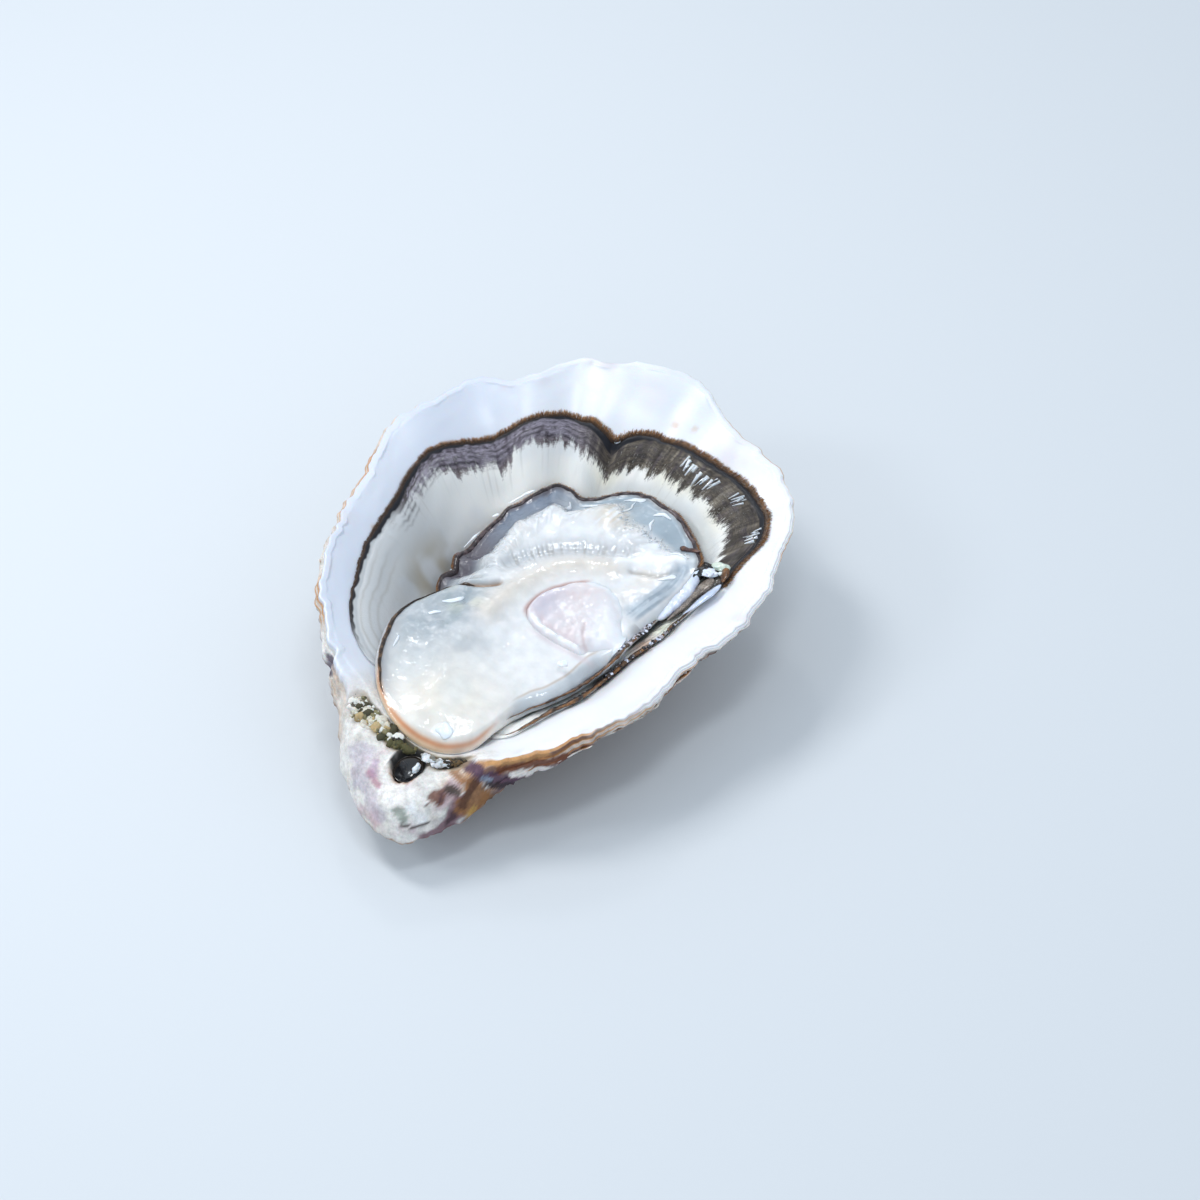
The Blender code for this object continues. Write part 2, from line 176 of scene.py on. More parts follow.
def share_of(pairs, turn):
    """A share from 0 to 1 by angle, with no overshoot."""
    return np.clip(np.interp(np.mod(turn, 360), *np.array(pairs + [(360, pairs[0][1])], float).T), 0, 1)


def ramp(x, start, end):
    """0 before start, 1 after end, and smooth between them."""
    t = np.clip((x - start) / (end - start), 0, 1)
    return t * t * (3 - 2 * t)


def peak(x, at, width):
    """1 at a place, and smoothly less on both sides of it."""
    return np.exp(-(((x - at) / width) ** 2))


def spot(turn, radius, middle=CUP_MIDDLE):
    """The plan point at an angle and a radius about a middle."""
    return middle[0] + radius * np.cos(np.radians(turn)), middle[1] + radius * np.sin(np.radians(turn))


def polar(x, y, middle=CUP_MIDDLE):
    """The angle in degrees and the radius of a plan point about a middle."""
    across, along = x - middle[0], y - middle[1]
    return np.degrees(np.arctan2(along, across)) % 360, np.hypot(across, along)


def hump(x, y, at, reach):
    """A smooth bump of height 1 at a plan point."""
    return np.exp(-(((x - at[0]) / reach[0]) ** 2) - ((y - at[1]) / reach[1]) ** 2)


def waver(x, y, z, size, seed=0):
    """Smooth, uneven waves from -1 to 1, each about size millimetres across."""
    place = np.stack(np.broadcast_arrays(x, y, z), -1) / size + 31.7 * (seed + 1)
    cell = np.floor(place).astype(np.int64)
    part = place - cell
    part = part * part * (3 - 2 * part)
    total = np.zeros(place.shape[:-1])
    for corner in itertools.product((0, 1), repeat=3):
        mixed = (cell + np.array(corner)) @ np.array([374761393, 668265263, 1442695041])
        mixed = ((mixed ^ (mixed >> 13)) * 1274126177) & 0xFFFFFFFF
        mixed = mixed ^ (mixed >> 16)
        share = np.prod(np.where(corner, part, 1 - part), -1)
        total += share * ((mixed & 0xFFFF) / 32767.5 - 1)
    return total


def waves(x, y, z, size, octaves=3, seed=0):
    """Uneven waves with finer and finer ones on top."""
    return sum(waver(x, y, z, size / 2 ** k, seed + 7 * k) / 2 ** k for k in range(octaves))


def along_line(line, count=60):
    """Closely spaced plan points on a smooth line through a few."""
    line = np.array(line, float)
    gone = np.concatenate([[0], np.cumsum(np.hypot(*np.diff(line, axis=0).T))])
    at = np.linspace(0, gone[-1], count)
    return np.stack([smooth(np.stack([gone, line[:, k]], 1), at) for k in range(line.shape[1])], 1)


def off_line(x, y, line):
    """Distance of plan points from a smooth line, in millimetres, and how far along it they lie, from 0 to 1."""
    dense = along_line(line)
    nearest, where = np.full(x.shape, 1e9), np.zeros(x.shape)
    for k, (start, end) in enumerate(zip(dense[:-1], dense[1:])):
        run = end - start
        share = np.clip(((x - start[0]) * run[0] + (y - start[1]) * run[1]) / (run @ run), 0, 1)
        apart = np.hypot(x - start[0] - share * run[0], y - start[1] - share * run[1])
        closer = apart < nearest
        nearest = np.where(closer, apart, nearest)
        where = np.where(closer, (k + share) / (len(dense) - 1), where)
    return nearest, where


def fold(x, y, line, width, taper=0.12):
    """How much of a fold along a line there is at each plan point, from 0 to 1. It thins out at its ends."""
    apart, where = off_line(x, y, line)
    ends = ramp(where, 0, taper) * (1 - ramp(where, 1 - taper, 1))
    return peak(apart, 0, width) * ends


def rim_plane(x, y):
    """Height of the tilted plane of the rim."""
    towards = math.radians(TILT_TOWARDS_DEG)
    return RIM_LEVEL + math.tan(math.radians(TILT_DEG)) * (x * math.cos(towards) + y * math.sin(towards))


def lip_radius(turn):
    return smooth(OUTER_EDGE, turn, 360) - smooth(LIP_WIDTH, turn, 360)


def lip_height(turn):
    return rim_plane(*spot(turn, lip_radius(turn))) + smooth(LIP_RISE, turn, 360)


def cup_height(x, y):
    """Height of the cup's inner surface."""
    turn, radius = polar(x, y)
    share = np.clip(radius / lip_radius(turn), 0, 1)
    hollow = HINGE_HOLLOW["deep"] * hump(x, y, HINGE_HOLLOW["at"], HINGE_HOLLOW["reach"])
    return (
        CUP_FLOOR + (lip_height(turn) - CUP_FLOOR) * smooth(CUP_WALL, share)
        - hollow * (1 - share ** HINGE_HOLLOW["fade"])
    )


def belly_height(x, y):
    """Height of the shell's outer surface, cut off flat where it stands."""
    turn, radius = polar(x, y)
    share = np.clip(radius / smooth(OUTER_EDGE, turn, 360), 0, 1)
    edge = lip_height(turn) - smooth(EDGE_DROP, turn, 360)
    ribs = RIB_HEIGHT * np.cos(np.radians(RIB_COUNT * turn)) * np.sin(np.pi * share) ** 2
    return np.maximum(0, (edge + BELLY_SUNK) * smooth(BELLY_WALL, share) - BELLY_SUNK + ribs * (share > 0.3))


def umbo_share(x, y):
    """How far a plan point lies from the umbo to the outermost edge, and its angle about the umbo."""
    umbo = spot(UMBO_ANGLE_DEG, UMBO_RADIUS)
    turns = np.arange(0, 360, 1.0)
    edge_turn, edge_radius = polar(*spot(turns, smooth(OUTER_EDGE, turns, 360)), umbo)
    order = np.argsort(edge_turn)
    turn, radius = polar(x, y, umbo)
    return radius / np.interp(turn, edge_turn[order], edge_radius[order], period=360), turn


def closed_form(name, segments, rings, place, upper=0.5):
    """A closed mesh made from a grid that is closed up into a ball. place(turn, level) says where its points go, in
    millimetres: level is 0 at the outermost edge, 1 in the middle of the upper face and -1 in the middle of the
    lower. upper is the share of the rings on the upper face. Gives the object, its points, turns and levels."""
    ball = bmesh.new()
    bmesh.ops.create_grid(ball, x_segments=segments, y_segments=rings, size=1)
    corner = {}
    for vertex in ball.verts:
        column, row = round((vertex.co.x + 1) / 2 * segments), round((vertex.co.y + 1) / 2 * rings)
        corner[column, row] = vertex
    welds = {corner[segments, row]: corner[0, row] for row in range(1, rings)}
    welds.update({corner[column, row]: corner[0, row] for column in range(1, segments + 1) for row in (0, rings)})
    bmesh.ops.weld_verts(ball, targetmap=welds)
    mesh = bpy.data.meshes.new(name)
    ball.to_mesh(mesh)
    ball.free()
    points = np.zeros(len(mesh.vertices) * 3, np.float32)
    mesh.vertices.foreach_get("co", points)
    points = points.reshape(-1, 3).astype(float)
    turn = np.round((points[:, 0] + 1) / 2 * segments) / segments * 360
    ring = np.round((points[:, 1] + 1) / 2 * rings) / rings
    edge = round((1 - upper) * rings) / rings
    level = np.where(ring > edge, (ring - edge) / (1 - edge), (ring - edge) / edge)
    made = bpy.data.objects.new(name, mesh)
    bpy.context.scene.collection.objects.link(made)
    moved = np.stack(np.broadcast_arrays(*place(turn, level)), 1)
    put(made, moved)
    mesh.shade_smooth()
    return made, moved, turn, level


def put(made, points):
    """Moves a mesh's points to places in millimetres."""
    made.data.vertices.foreach_set("co", (points * MM).astype(np.float32).ravel())
    made.data.update()


def outwards(made):
    """The outward directions of a mesh's points."""
    normals = np.zeros(len(made.data.vertices) * 3, np.float32)
    made.data.vertex_normals.foreach_get("vector", normals)
    return normals.reshape(-1, 3).astype(float)


def linear(colour):
    """An sRGB hex colour as linear light."""
    parts = np.array([int(colour[k:k + 2], 16) / 255 for k in (1, 3, 5)])
    return np.where(parts <= 0.04045, parts / 12.92, ((parts + 0.055) / 1.055) ** 2.4)


def plain(colour, points):
    """One colour for every point."""
    return np.tile(linear(colour), (len(points), 1))


def lay(colours, colour, share):
    """Lays a colour over others, by a share for each point."""
    return colours + (linear(colour) - colours) * np.clip(share, 0, 1)[:, None]


def paint(colours, coats):
    """Lays coats of colour one over another: pairs of a colour and a share for each point."""
    for colour, share in coats:
        colours = lay(colours, colour, share)
    return colours


def keep_colours(made, colours, name="tint"):
    """Keeps a colour for each point of a mesh, as an attribute."""
    tint = made.data.color_attributes.new(name=name, type="FLOAT_COLOR", domain="POINT")
    tint.data.foreach_set("color", np.column_stack([colours, np.ones(len(colours))]).astype(np.float32).ravel())


def keep_share(made, name, values):
    """Keeps a number for each point of a mesh, or one for all of them."""
    kept = made.data.attributes.new(name, "FLOAT", "POINT")
    kept.data.foreach_set("value", np.full(len(made.data.vertices), values, np.float32))


def keep_lay(made, across, along, inwards):
    """Keeps the way a surface lies, in millimetres: round its edge (a point on a ring) and in from its edge."""
    kept = made.data.attributes.new("lay_of_flesh", "FLOAT_VECTOR", "POINT")
    kept.data.foreach_set("vector", np.stack([across, along, inwards], 1).astype(np.float32).ravel())


def wire(tree, made, links):
    """Gives a node's inputs a value or another node's output."""
    for place, value in links.items():
        if isinstance(value, bpy.types.NodeSocket):
            tree.links.new(value, made.inputs[place])
        else:
            made.inputs[place].default_value = value


def node(tree, kind, links=None, **settings):
    """Adds a node. settings are its properties, and links give its inputs a value or another node's output."""
    made = tree.nodes.new(kind)
    for name, value in settings.items():
        setattr(made, name, value)
    wire(tree, made, links or {})
    return made


def finish_of(name, constants):
    """A new material, its node tree and its shader, with what is the same all over set on the shader's sockets."""
    material = bpy.data.materials.new(name)
    material.use_nodes = True
    shader = material.node_tree.nodes["Principled BSDF"]
    wire(material.node_tree, shader, constants)
    return material, material.node_tree, shader


# The share of the valve's upper face that is its lip.
OVER_LIP = 0.24


def hinge_turn(turn):
    """Draws the points together at the hinge, where the shell is most broken."""
    return turn - 16 * np.sin(np.radians(turn - 267))


def rim_nick(turn):
    """How far the ragged edge stands out, in millimetres, by angle."""
    x, y = spot(turn, RIM_RING)
    return 0.8 * waver(x, y, 0, 5.5, 3) + 0.6 * waver(x, y, 0, 2.4, 5) + 0.4 * waver(x, y, 0, 1.2, 6)


def valve_place(turn, level):
    turn = hinge_turn(turn)
    nick = rim_nick(turn)
    outer = smooth(OUTER_EDGE, turn, 360) + nick
    lip = lip_radius(turn) + nick
    drop = smooth(EDGE_DROP, turn, 360)
    plate = share_of(PLATE, turn)
    out = np.clip(1 - level / OVER_LIP, 0, 1)
    sheet_out, sheet_drop = smooth(SHEET_EDGES_OUT, out), smooth(SHEET_EDGES_DROP, out)
    round_out, round_drop = np.sin(out * np.pi / 2), 1 - np.cos(out * np.pi / 2)
    lip_x, lip_y = spot(turn, lip + (outer - lip) * (sheet_out + (round_out - sheet_out) * plate))
    lip_z = lip_height(turn) - drop * (sheet_drop + (round_drop - sheet_drop) * plate)
    inward = np.clip((level - OVER_LIP) / (1 - OVER_LIP), 0, 1)
    cup_x, cup_y = spot(turn, lip * (1 - inward ** 1.15))
    cup_z = cup_height(cup_x, cup_y)
    belly_x, belly_y = spot(turn, outer * (1 - np.clip(-level, 0, 1) ** 1.15))
    belly_z = belly_height(belly_x, belly_y)
    on_lip, in_cup = (level >= 0) & (level <= OVER_LIP), level > OVER_LIP
    return (
        np.where(in_cup, cup_x, np.where(on_lip, lip_x, belly_x)),
        np.where(in_cup, cup_y, np.where(on_lip, lip_y, belly_y)),
        np.where(in_cup, cup_z, np.where(on_lip, lip_z, belly_z)),
    )


valve, points, turn, level = closed_form("cupped_valve", 480, 200, valve_place, upper=0.62)
turn = hinge_turn(turn)
x, y, z = points.T
plate = share_of(PLATE, turn)
growth, umbo_turn = umbo_share(x, y)
outside = ramp(-level, -0.02, 0.02)
growth_wavy = growth + 0.022 * waver(x, y, z, 9, 11) + 0.009 * waver(x, y, z, 3, 12)
lines = np.array(GROWTH_LINES)
sheet = np.clip(np.searchsorted(lines, growth_wavy) - 1, 0, len(lines) - 2)
in_sheet = np.clip((growth_wavy - lines[sheet]) / (lines[sheet + 1] - lines[sheet]), 0, 1)
step = LAMELLA_STEP * (0.65 + 0.35 * waver(x, y, z, 11, 13)) * in_sheet ** 1.6
standing = ramp(z, 0.4, 5)
knob = plate * ramp(-y, 46, 52)
normals = outwards(valve)
bumps = 0.5 * waves(x, y, z, 7, 4, 21)
proud = outside * standing * (step + bumps - 0.35) * (1 - 0.45 * knob)
proud += knob * (0.9 * waver(x, y, z, 8, 31) + 0.45 * waver(x, y, z, 3.5, 32) + 0.2 * waver(x, y, z, 1.5, 33))
# The pit of the ligament, with a crumbling edge, and the trough beside it.
pit = spot(PIT_ANGLE_DEG, PIT_RADIUS)
from_pit = np.hypot((x - pit[0]) / PIT_HOLE[0], (y - pit[1]) / PIT_HOLE[1])
upper_face = (level > 0).astype(float)
pit_deep = PIT_DEEP * np.clip(1 - from_pit ** 2, 0, 1) ** 0.35
trough = 1.3 * np.exp(-((off_line(x, y, HINGE_SEAM)[0] / 2.0) ** 2)) * plate
low = upper_face * (pit_deep + trough * (from_pit > 1) - 0.6 * peak(from_pit, 1.2, 0.18))
points = points + normals * proud[:, None]
points[:, 2] -= low
for place, reach, rise in KNOB_SWELLS:
    points += upper_face[:, None] * normals * (rise * hump(x, y, place, reach))[:, None]
# Low folds in the nacre, stronger towards the rim.
radius_share = np.hypot(x - CUP_MIDDLE[0], y - CUP_MIDDLE[1]) / lip_radius(turn)
flute_x, flute_y = spot(turn, RIM_RING)
flutes = 0.3 * waver(flute_x, flute_y, 0, 8, 41) + 0.1 * waver(flute_x, flute_y, 0, 3, 42)
in_cup = (level > OVER_LIP).astype(float)
points[:, 2] += in_cup * (1 - plate) * (
    0.35 * flutes * ramp(radius_share, 0.8, 1.0) + 0.14 * waver(x, y, 0, 5, 43) * ramp(radius_share, 0.4, 0.8)
    + 0.07 * waver(flute_x * 0.4, flute_y * 0.4, radius_share * RIM_RING, 1.6, 44) * ramp(radius_share, 0.8, 0.95)
)
points[:, 2] += (level <= OVER_LIP) * (level > 0) * (1 - plate) * 0.35 * flutes * level / OVER_LIP
points[:, 2] = np.maximum(points[:, 2], 0)
put(valve, points)

out = np.clip(1 - level / OVER_LIP, 0, 1)
on_edges = (level <= OVER_LIP) & (level >= 0)
thin_lip = ramp(turn, 271, 280) * (1 - ramp(turn, 306, 320))
bright_lip = ramp(turn, 318, 334) + (1 - ramp(turn, 100, 130))
nacre = ramp(0.47 - 0.33 * thin_lip + 0.3 * bright_lip + 0.04 * waver(x, y, z, 2, 76) - out, -0.03, 0.03)
nacre *= (1 - plate * ramp(radius_share, 0.90, 0.96)) * (level > 0)
colours = paint(plain("#F1F1F3", x), [
    # Bluer and darker towards the left: painted shade on the cup's left wall, which is turned away from the light.
    ("#C6CDDB", 0.88 * ramp(-x + 0.05 * y, 4, 36)),
    ("#C4CBD6", 0.8 * hump(x, y, (9, 57), (13, 7))),
    ("#DDE1EA", 0.5 * ramp(waver(x, y, z, 13, 51), -0.1, 0.8)),
])
for place, reach, shade, strength in NACRE_STAINS:
    ragged = 1 + 0.5 * waver(x, y, 0, 2.2, 53)
    colours = lay(colours, shade, strength * hump(x, y, place, (reach * ragged, reach * ragged)))
colours = lay(colours, "#CFC8CC", 0.4 * ramp(waver(x, y, z, 4, 52), 0.3, 0.9) * ramp(radius_share, 0.93, 1))
chalk = plain("#E2DDD6", x)
rays = waves(umbo_turn * 0.35, growth * 5, z * 0.1, 5, 4, 63)
chalk = paint(chalk, [
    ("#F3F0EC", ramp(waves(x, y, z, 6, 4, 61), -0.1, 0.7)),
    ("#B98F63", 0.8 * ramp(waves(x, y, z, 8, 4, 62), 0.2, 0.8) * (0.4 + 0.6 * outside)),
    ("#7A5537", 0.85 * ramp(rays, 0.15, 0.7) * outside),
    ("#4A3E4B", 0.85 * ramp(waves(umbo_turn * 0.3, growth * 9, z * 0.1, 5, 4, 64), 0.4, 0.9) * outside),
    ("#A86E38", 0.9 * outside * ramp(in_sheet, 0.6, 0.9) * ramp(waver(x, y, z, 6, 65), -0.5, 0.3)),
    ("#F4F1EC", 0.8 * outside * ramp(in_sheet, 0.95, 0.99) * ramp(waver(x, y, z, 5, 68), -0.3, 0.4)),
    # Dark brown at the foot of each sheet's edge: a painted shadow under the edge.
    ("#4E3A2C", 0.65 * outside * (1 - ramp(in_sheet, 0.02, 0.3))),
])
# The flank beside the knob, on the front side, is the darkest: brown, ochre and purple-black.
flank = outside * hump(x, y, (22, -44), (24, 14))
chalk = paint(chalk, [
    ("#8A5E38", 0.75 * flank * ramp(waves(x, y, z * 2, 4, 3, 69), -0.5, 0.4)),
    ("#3D323C", 0.8 * flank * ramp(waves(x, y, z * 2, 5, 3, 70), 0.1, 0.6)),
])
# The edges of the older sheets under the nacre: cream, tan and brown in turn.
edge_tan = on_edges * peak(out, 0.56, 0.07) + on_edges * peak(out, 0.84, 0.08)
under = thin_lip * on_edges
in_layers = out + 0.07 * waver(flute_x, flute_y, 0, 6, 77) + 0.03 * waver(flute_x, flute_y, 0, 1.5, 78)
for start, end, shade in ((0.1, 0.34, "#C9925A"), (0.34, 0.58, "#74452A"), (0.58, 0.74, "#E4DAD2"),
    (0.74, 1.1, "#54404C")):
    chalk = lay(chalk, shade, 0.9 * under * ramp(in_layers, start - 0.03, start + 0.03)
        * (1 - ramp(in_layers, end - 0.03, end + 0.03)))
chalk = paint(chalk, [
    ("#C48A4C", 0.9 * edge_tan * ramp(waver(flute_x, flute_y, 0, 7, 71), -0.5 + 0.5 * bright_lip,
        0.3 + 0.4 * bright_lip) * (1 - plate)),
    ("#F2EFEA", 0.8 * knob * ramp(waves(x, y, z, 5, 4, 66), -0.7, 0.3)),
    ("#C49AA6", 0.55 * knob * ramp(waves(x, y, z, 5, 3, 67), 0.25, 0.8)),
])
for places, reach, shade, strength in KNOB_STAINS:
    spread = 1 + 0.5 * waver(x, y, z, 2.0, 72) + 0.3 * waver(x, y, z, 0.9, 75)
    dense = np.concatenate([np.linspace(p, q, 8) for p, q in zip(places, places[1:] or places)])
    away = np.min([np.linalg.norm(points - place, axis=1) for place in dense], axis=0) / (reach * spread)
    chalk = lay(chalk, shade, strength * ramp(-away, -1.3, -0.8))
# Dark horn stains the hollow behind the pit, and ochre its front edge.
seam_apart = off_line(x, y, HINGE_SEAM)[0] + 0.6 * waver(x, y, 0, 1.6, 73)
rim_side = off_line(x - 0.5, y - 1.3, HINGE_SEAM)[0] + 0.4 * waver(x, y, 0, 1.3, 79)
chalk = paint(chalk, [
    ("#A58C68", 0.7 * upper_face * ramp(-seam_apart, -2.8, -2.0) * ramp(-x, -9, -6)),
    ("#332E20", 0.94 * upper_face * ramp(-seam_apart, -2.4, -1.5) * ramp(x, -15, -12) * ramp(-x, -7, -4)),
    ("#3A3826", 0.9 * ramp(-rim_side, -1.1, -0.6) * ramp(x, -20, -18) * ramp(-x, -7, -4) * upper_face),
    ("#14110F", 0.97 * upper_face * ramp(-from_pit + 0.12 * waver(x, y, 0, 1.5, 74), -1.3, -1.1)
        * ramp(y, -55.5, -53.5)),
    ("#14110F", 0.97 * upper_face * ramp(-from_pit, -1.0, -0.9)),
    ("#9A6430", 0.95 * upper_face * peak(from_pit, 1.08, 0.1) * ramp(-y, 53.5, 56.5)),
])
colours = chalk + (colours - chalk) * nacre[:, None]
keep_colours(valve, colours)
keep_share(valve, "nacre", nacre)

# Nacre and chalk: calcium carbonate, smooth and faintly pearly where it is nacre, matt and gritty outside.
shell_finish, tree, shader = finish_of("oyster_nacre_and_chalk",
    {"Coat Roughness": 0.34, "Subsurface Weight": 0.12, "Subsurface Scale": 0.8 * MM})
tint, nacre_share = (
    node(tree, "ShaderNodeAttribute", attribute_name=name)
    for name in ("tint", "nacre"))
lies = node(tree, "ShaderNodeTexCoord").outputs["Object"]
grit = node(tree, "ShaderNodeTexNoise", {"Vector": lies, "Scale": 1 / (1.3 * MM), "Detail": 8.0, "Roughness": 0.7})
grit_share = node(tree, "ShaderNodeMapRange", {
    "Value": grit.outputs["Fac"], "From Min": 0.35, "From Max": 0.68, "To Min": 0.72, "To Max": 1.12})
spare = node(tree, "ShaderNodeMix", {
    "Factor": nacre_share.outputs["Fac"], "A": grit_share.outputs["Result"], "B": 1.0}, data_type="FLOAT")
dusted = node(tree, "ShaderNodeVectorMath", {
    0: tint.outputs["Color"], 3: spare.outputs[0]}, operation="SCALE")
matt = node(tree, "ShaderNodeMapRange", {
    "Value": nacre_share.outputs["Fac"], "To Min": 0.8, "To Max": 0.36})
gloss = node(tree, "ShaderNodeMath", {0: nacre_share.outputs["Fac"], 1: 0.55}, operation="MULTIPLY")
relief = node(tree, "ShaderNodeMapRange", {
    "Value": nacre_share.outputs["Fac"], "To Min": 0.35, "To Max": 0.02})
bump = node(tree, "ShaderNodeBump", {
    "Strength": 0.6, "Distance": MM, "Height": node(tree, "ShaderNodeMath", {
        0: grit.outputs["Fac"], 1: relief.outputs["Result"]}, operation="MULTIPLY").outputs["Value"]})
wire(tree, shader, {
    "Base Color": dusted.outputs["Vector"],
    "Roughness": matt.outputs["Result"],
    "Coat Weight": gloss.outputs["Value"],
    "Normal": bump.outputs["Normal"],
})
valve.data.materials.append(shell_finish)
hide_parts("shell")
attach(valve, "root")

# ---------------------------------------------------------------------------------------------------------------
# Frills: the thin free edges of a few older sheets of the shell, which stand off the belly under the rim and curl
# in waves. They are brittle chalk, brown where they leave the belly and pale where they are worn thin.

FRILLS = [
    # from and to angle, in from the outermost edge, width, lift in degrees, colours: root, middle and edge
    (136, 246, 1.4, 1.9, 38, ("#8A6242", "#C79A68", "#F4F1EC")),
    (128, 232, 3.4, 2.4, 30, ("#6B4A34", "#B8895A", "#F2EEE8")),
    (150, 250, 6.0, 2.4, 22, ("#5A4552", "#A98A74", "#EDE8E2")),
    (283, 352, 1.2, 1.7, 30, ("#8E5A2C", "#C98A4A", "#F4F0EA")),
    (280, 338, 3.2, 2.2, 22, ("#7A4E2C", "#B87A42", "#EFE9E0")),
    (279, 330, 5.6, 2.4, 16, ("#4A3430", "#8E5E38", "#D9CFC4")),
    (352, 398, 1.8, 1.4, 30, ("#9A7A5C", "#D6BE9C", "#F6F4F0")),
    (60, 132, 2.2, 1.3, 30, ("#A99A8C", "#E0D6CA", "#F6F5F2")),
]
FRILL_THICK = 0.4
for number, (start, end, inset, wide, lift, shades) in enumerate(FRILLS):

    def frill_place(turn, level):
        at = start + (end - start) * (level + 1) / 2
        out = (np.cos(np.radians(turn)) + 1) / 2
        ends = np.sqrt(np.clip(1 - np.abs(level) ** 4, 0, 1))
        ring_x, ring_y = spot(at, RIM_RING)
        torn = 0.85 + 0.45 * waver(ring_x, ring_y, number, 4, 161) + 0.3 * waver(ring_x, ring_y, number, 1.5, 162)
        width = wide * ends * torn
        root = smooth(OUTER_EDGE, at, 360) + rim_nick(at) - inset + 0.6 * waver(ring_x, ring_y, number, 6, 163)
        lifted = np.radians(lift + 16 * waver(ring_x, ring_y, number, 3, 164))
        x, y = spot(at, root + width * out * np.cos(lifted))
        root_x, root_y = spot(at, root)
        thick = FRILL_THICK * ends * np.sin(np.radians(turn)) * (1 - 0.55 * out)
        return x, y, belly_height(root_x, root_y) - 0.1 + width * out * np.sin(lifted) + thick

    made, frill_points, turn, level = closed_form(f"growth_frill_{number + 1}", 12, round(6 * (end - start)),
        frill_place)
    x, y, z = frill_points.T
    out = (np.cos(np.radians(turn)) + 1) / 2 + 0.25 * waver(x, y, z, 2, 165)
    colours = paint(plain(shades[0], x), [
        (shades[1], ramp(out, 0.15, 0.5)),
        (shades[2], ramp(out, 0.55, 0.9) * ramp(waver(x, y, z, 5, 166), -0.9, -0.1)),
        (shades[0], 0.7 * ramp(waver(x, y, z, 4, 167), 0.3, 0.8)),
    ])
    keep_colours(made, colours)
    keep_share(made, "nacre", 0)
    made.data.materials.append(shell_finish)
    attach(made, "root")

# ---------------------------------------------------------------------------------------------------------------
# The ligament: a pad of dark, elastic horn in its pit on the hinge plate, torn through when the oyster was opened,
# so that its top is a wet hollow. It grew there, stuck to both valves.

LIGAMENT_PLAY = 0.35


def ligament_place(turn, level):
    up = level * np.pi / 2
    size = [side - LIGAMENT_PLAY for side in (*PIT_HOLE, PIT_HALF_HEIGHT)]
    base = lip_height(PIT_ANGLE_DEG) - PIT_BELOW_LIP
    ring = np.cos(up)
    x = pit[0] + size[0] * ring * np.cos(np.radians(turn))
    y = pit[1] + size[1] * ring * np.sin(np.radians(turn))
    top = base - 0.6 - 2.2 * (1 - ring ** 2) + 0.5 * waver(x, y, 0, 2.4, 71) * ring
    return x, y, np.where(level > 0, top, base + size[2] * np.sin(up))


ligament, points, turn, level = closed_form("horn_ligament", 64, 48, ligament_place)
x, y, z = points.T
colours = plain("#15151B", x)
colours = lay(colours, "#3B3026", ramp(np.cos(level * np.pi / 2), 0.86, 1.0))
keep_colours(ligament, colours)
# Wet conchiolin horn: nearly black, with a sharp shine.
horn_finish, tree, shader = finish_of("wet_black_horn",
    {"Roughness": 0.22, "Coat Weight": 1.0, "Coat Roughness": 0.05})
tint = node(tree, "ShaderNodeAttribute", attribute_name="tint")
lies = node(tree, "ShaderNodeTexCoord").outputs["Object"]
uneven = node(tree, "ShaderNodeTexNoise", {"Vector": lies, "Scale": 1 / (1.6 * MM), "Detail": 4.0})
bump = node(tree, "ShaderNodeBump", {"Strength": 0.5, "Distance": 0.5 * MM, "Height": uneven.outputs["Fac"]})
wire(tree, shader, {
    "Base Color": tint.outputs["Color"],
    "Normal": bump.outputs["Normal"],
})
ligament.data.materials.append(horn_finish)
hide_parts("ligament")
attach(ligament, "root")

# ---------------------------------------------------------------------------------------------------------------
# The lower mantle lobe: a thin wet skirt of flesh that lines the cup. It is cream, with a dark striped band along
# its free edge, and it ends in a furrow and a fringe of fine brown tentacles that lie on the nacre.

MANTLE_EDGE = [
    (0, 30), (8, 31.5), (14, 35), (20, 40), (27, 43.5), (32, 48), (38, 51), (45, 51.5), (53, 50.2),
    (60, 48.3), (68, 47), (77, 47.3), (84, 46.8), (88, 45), (92, 42.8), (96, 43), (100, 43.8),
    (106, 44.5), (113, 42.8), (120, 41), (130, 40.2), (142, 40.4), (152, 40.8), (162, 39.2), (172, 37.2),
    (184, 37), (196, 38.2), (207, 39.3), (218, 41.3), (228, 42.3), (236, 41.8), (244, 39), (254, 37),
    (266, 37), (278, 38.5), (286, 40), (292, 37.5), (300, 33.5), (311, 31), (325, 27), (341, 26.5), (353, 28.5),
]
MANTLE_PLAY = 0.5
MANTLE_THICK = 1.3
# How far the lobe thins towards its edge, over a width.
EDGE_THINNING, THINNING_WIDTH = 0.95, 5
# Room left under the solid lobe's top for the small folds.
RELIEF_ROOM = 0.25
# Radius of the circle on which patterns along the edge are drawn.
MANTLE_RING = 45
FOLD_ANGLE_DEG = 350.0
FOLD_HALF_WIDTH_DEG = 22.0
FOLD_RISE = 1.6
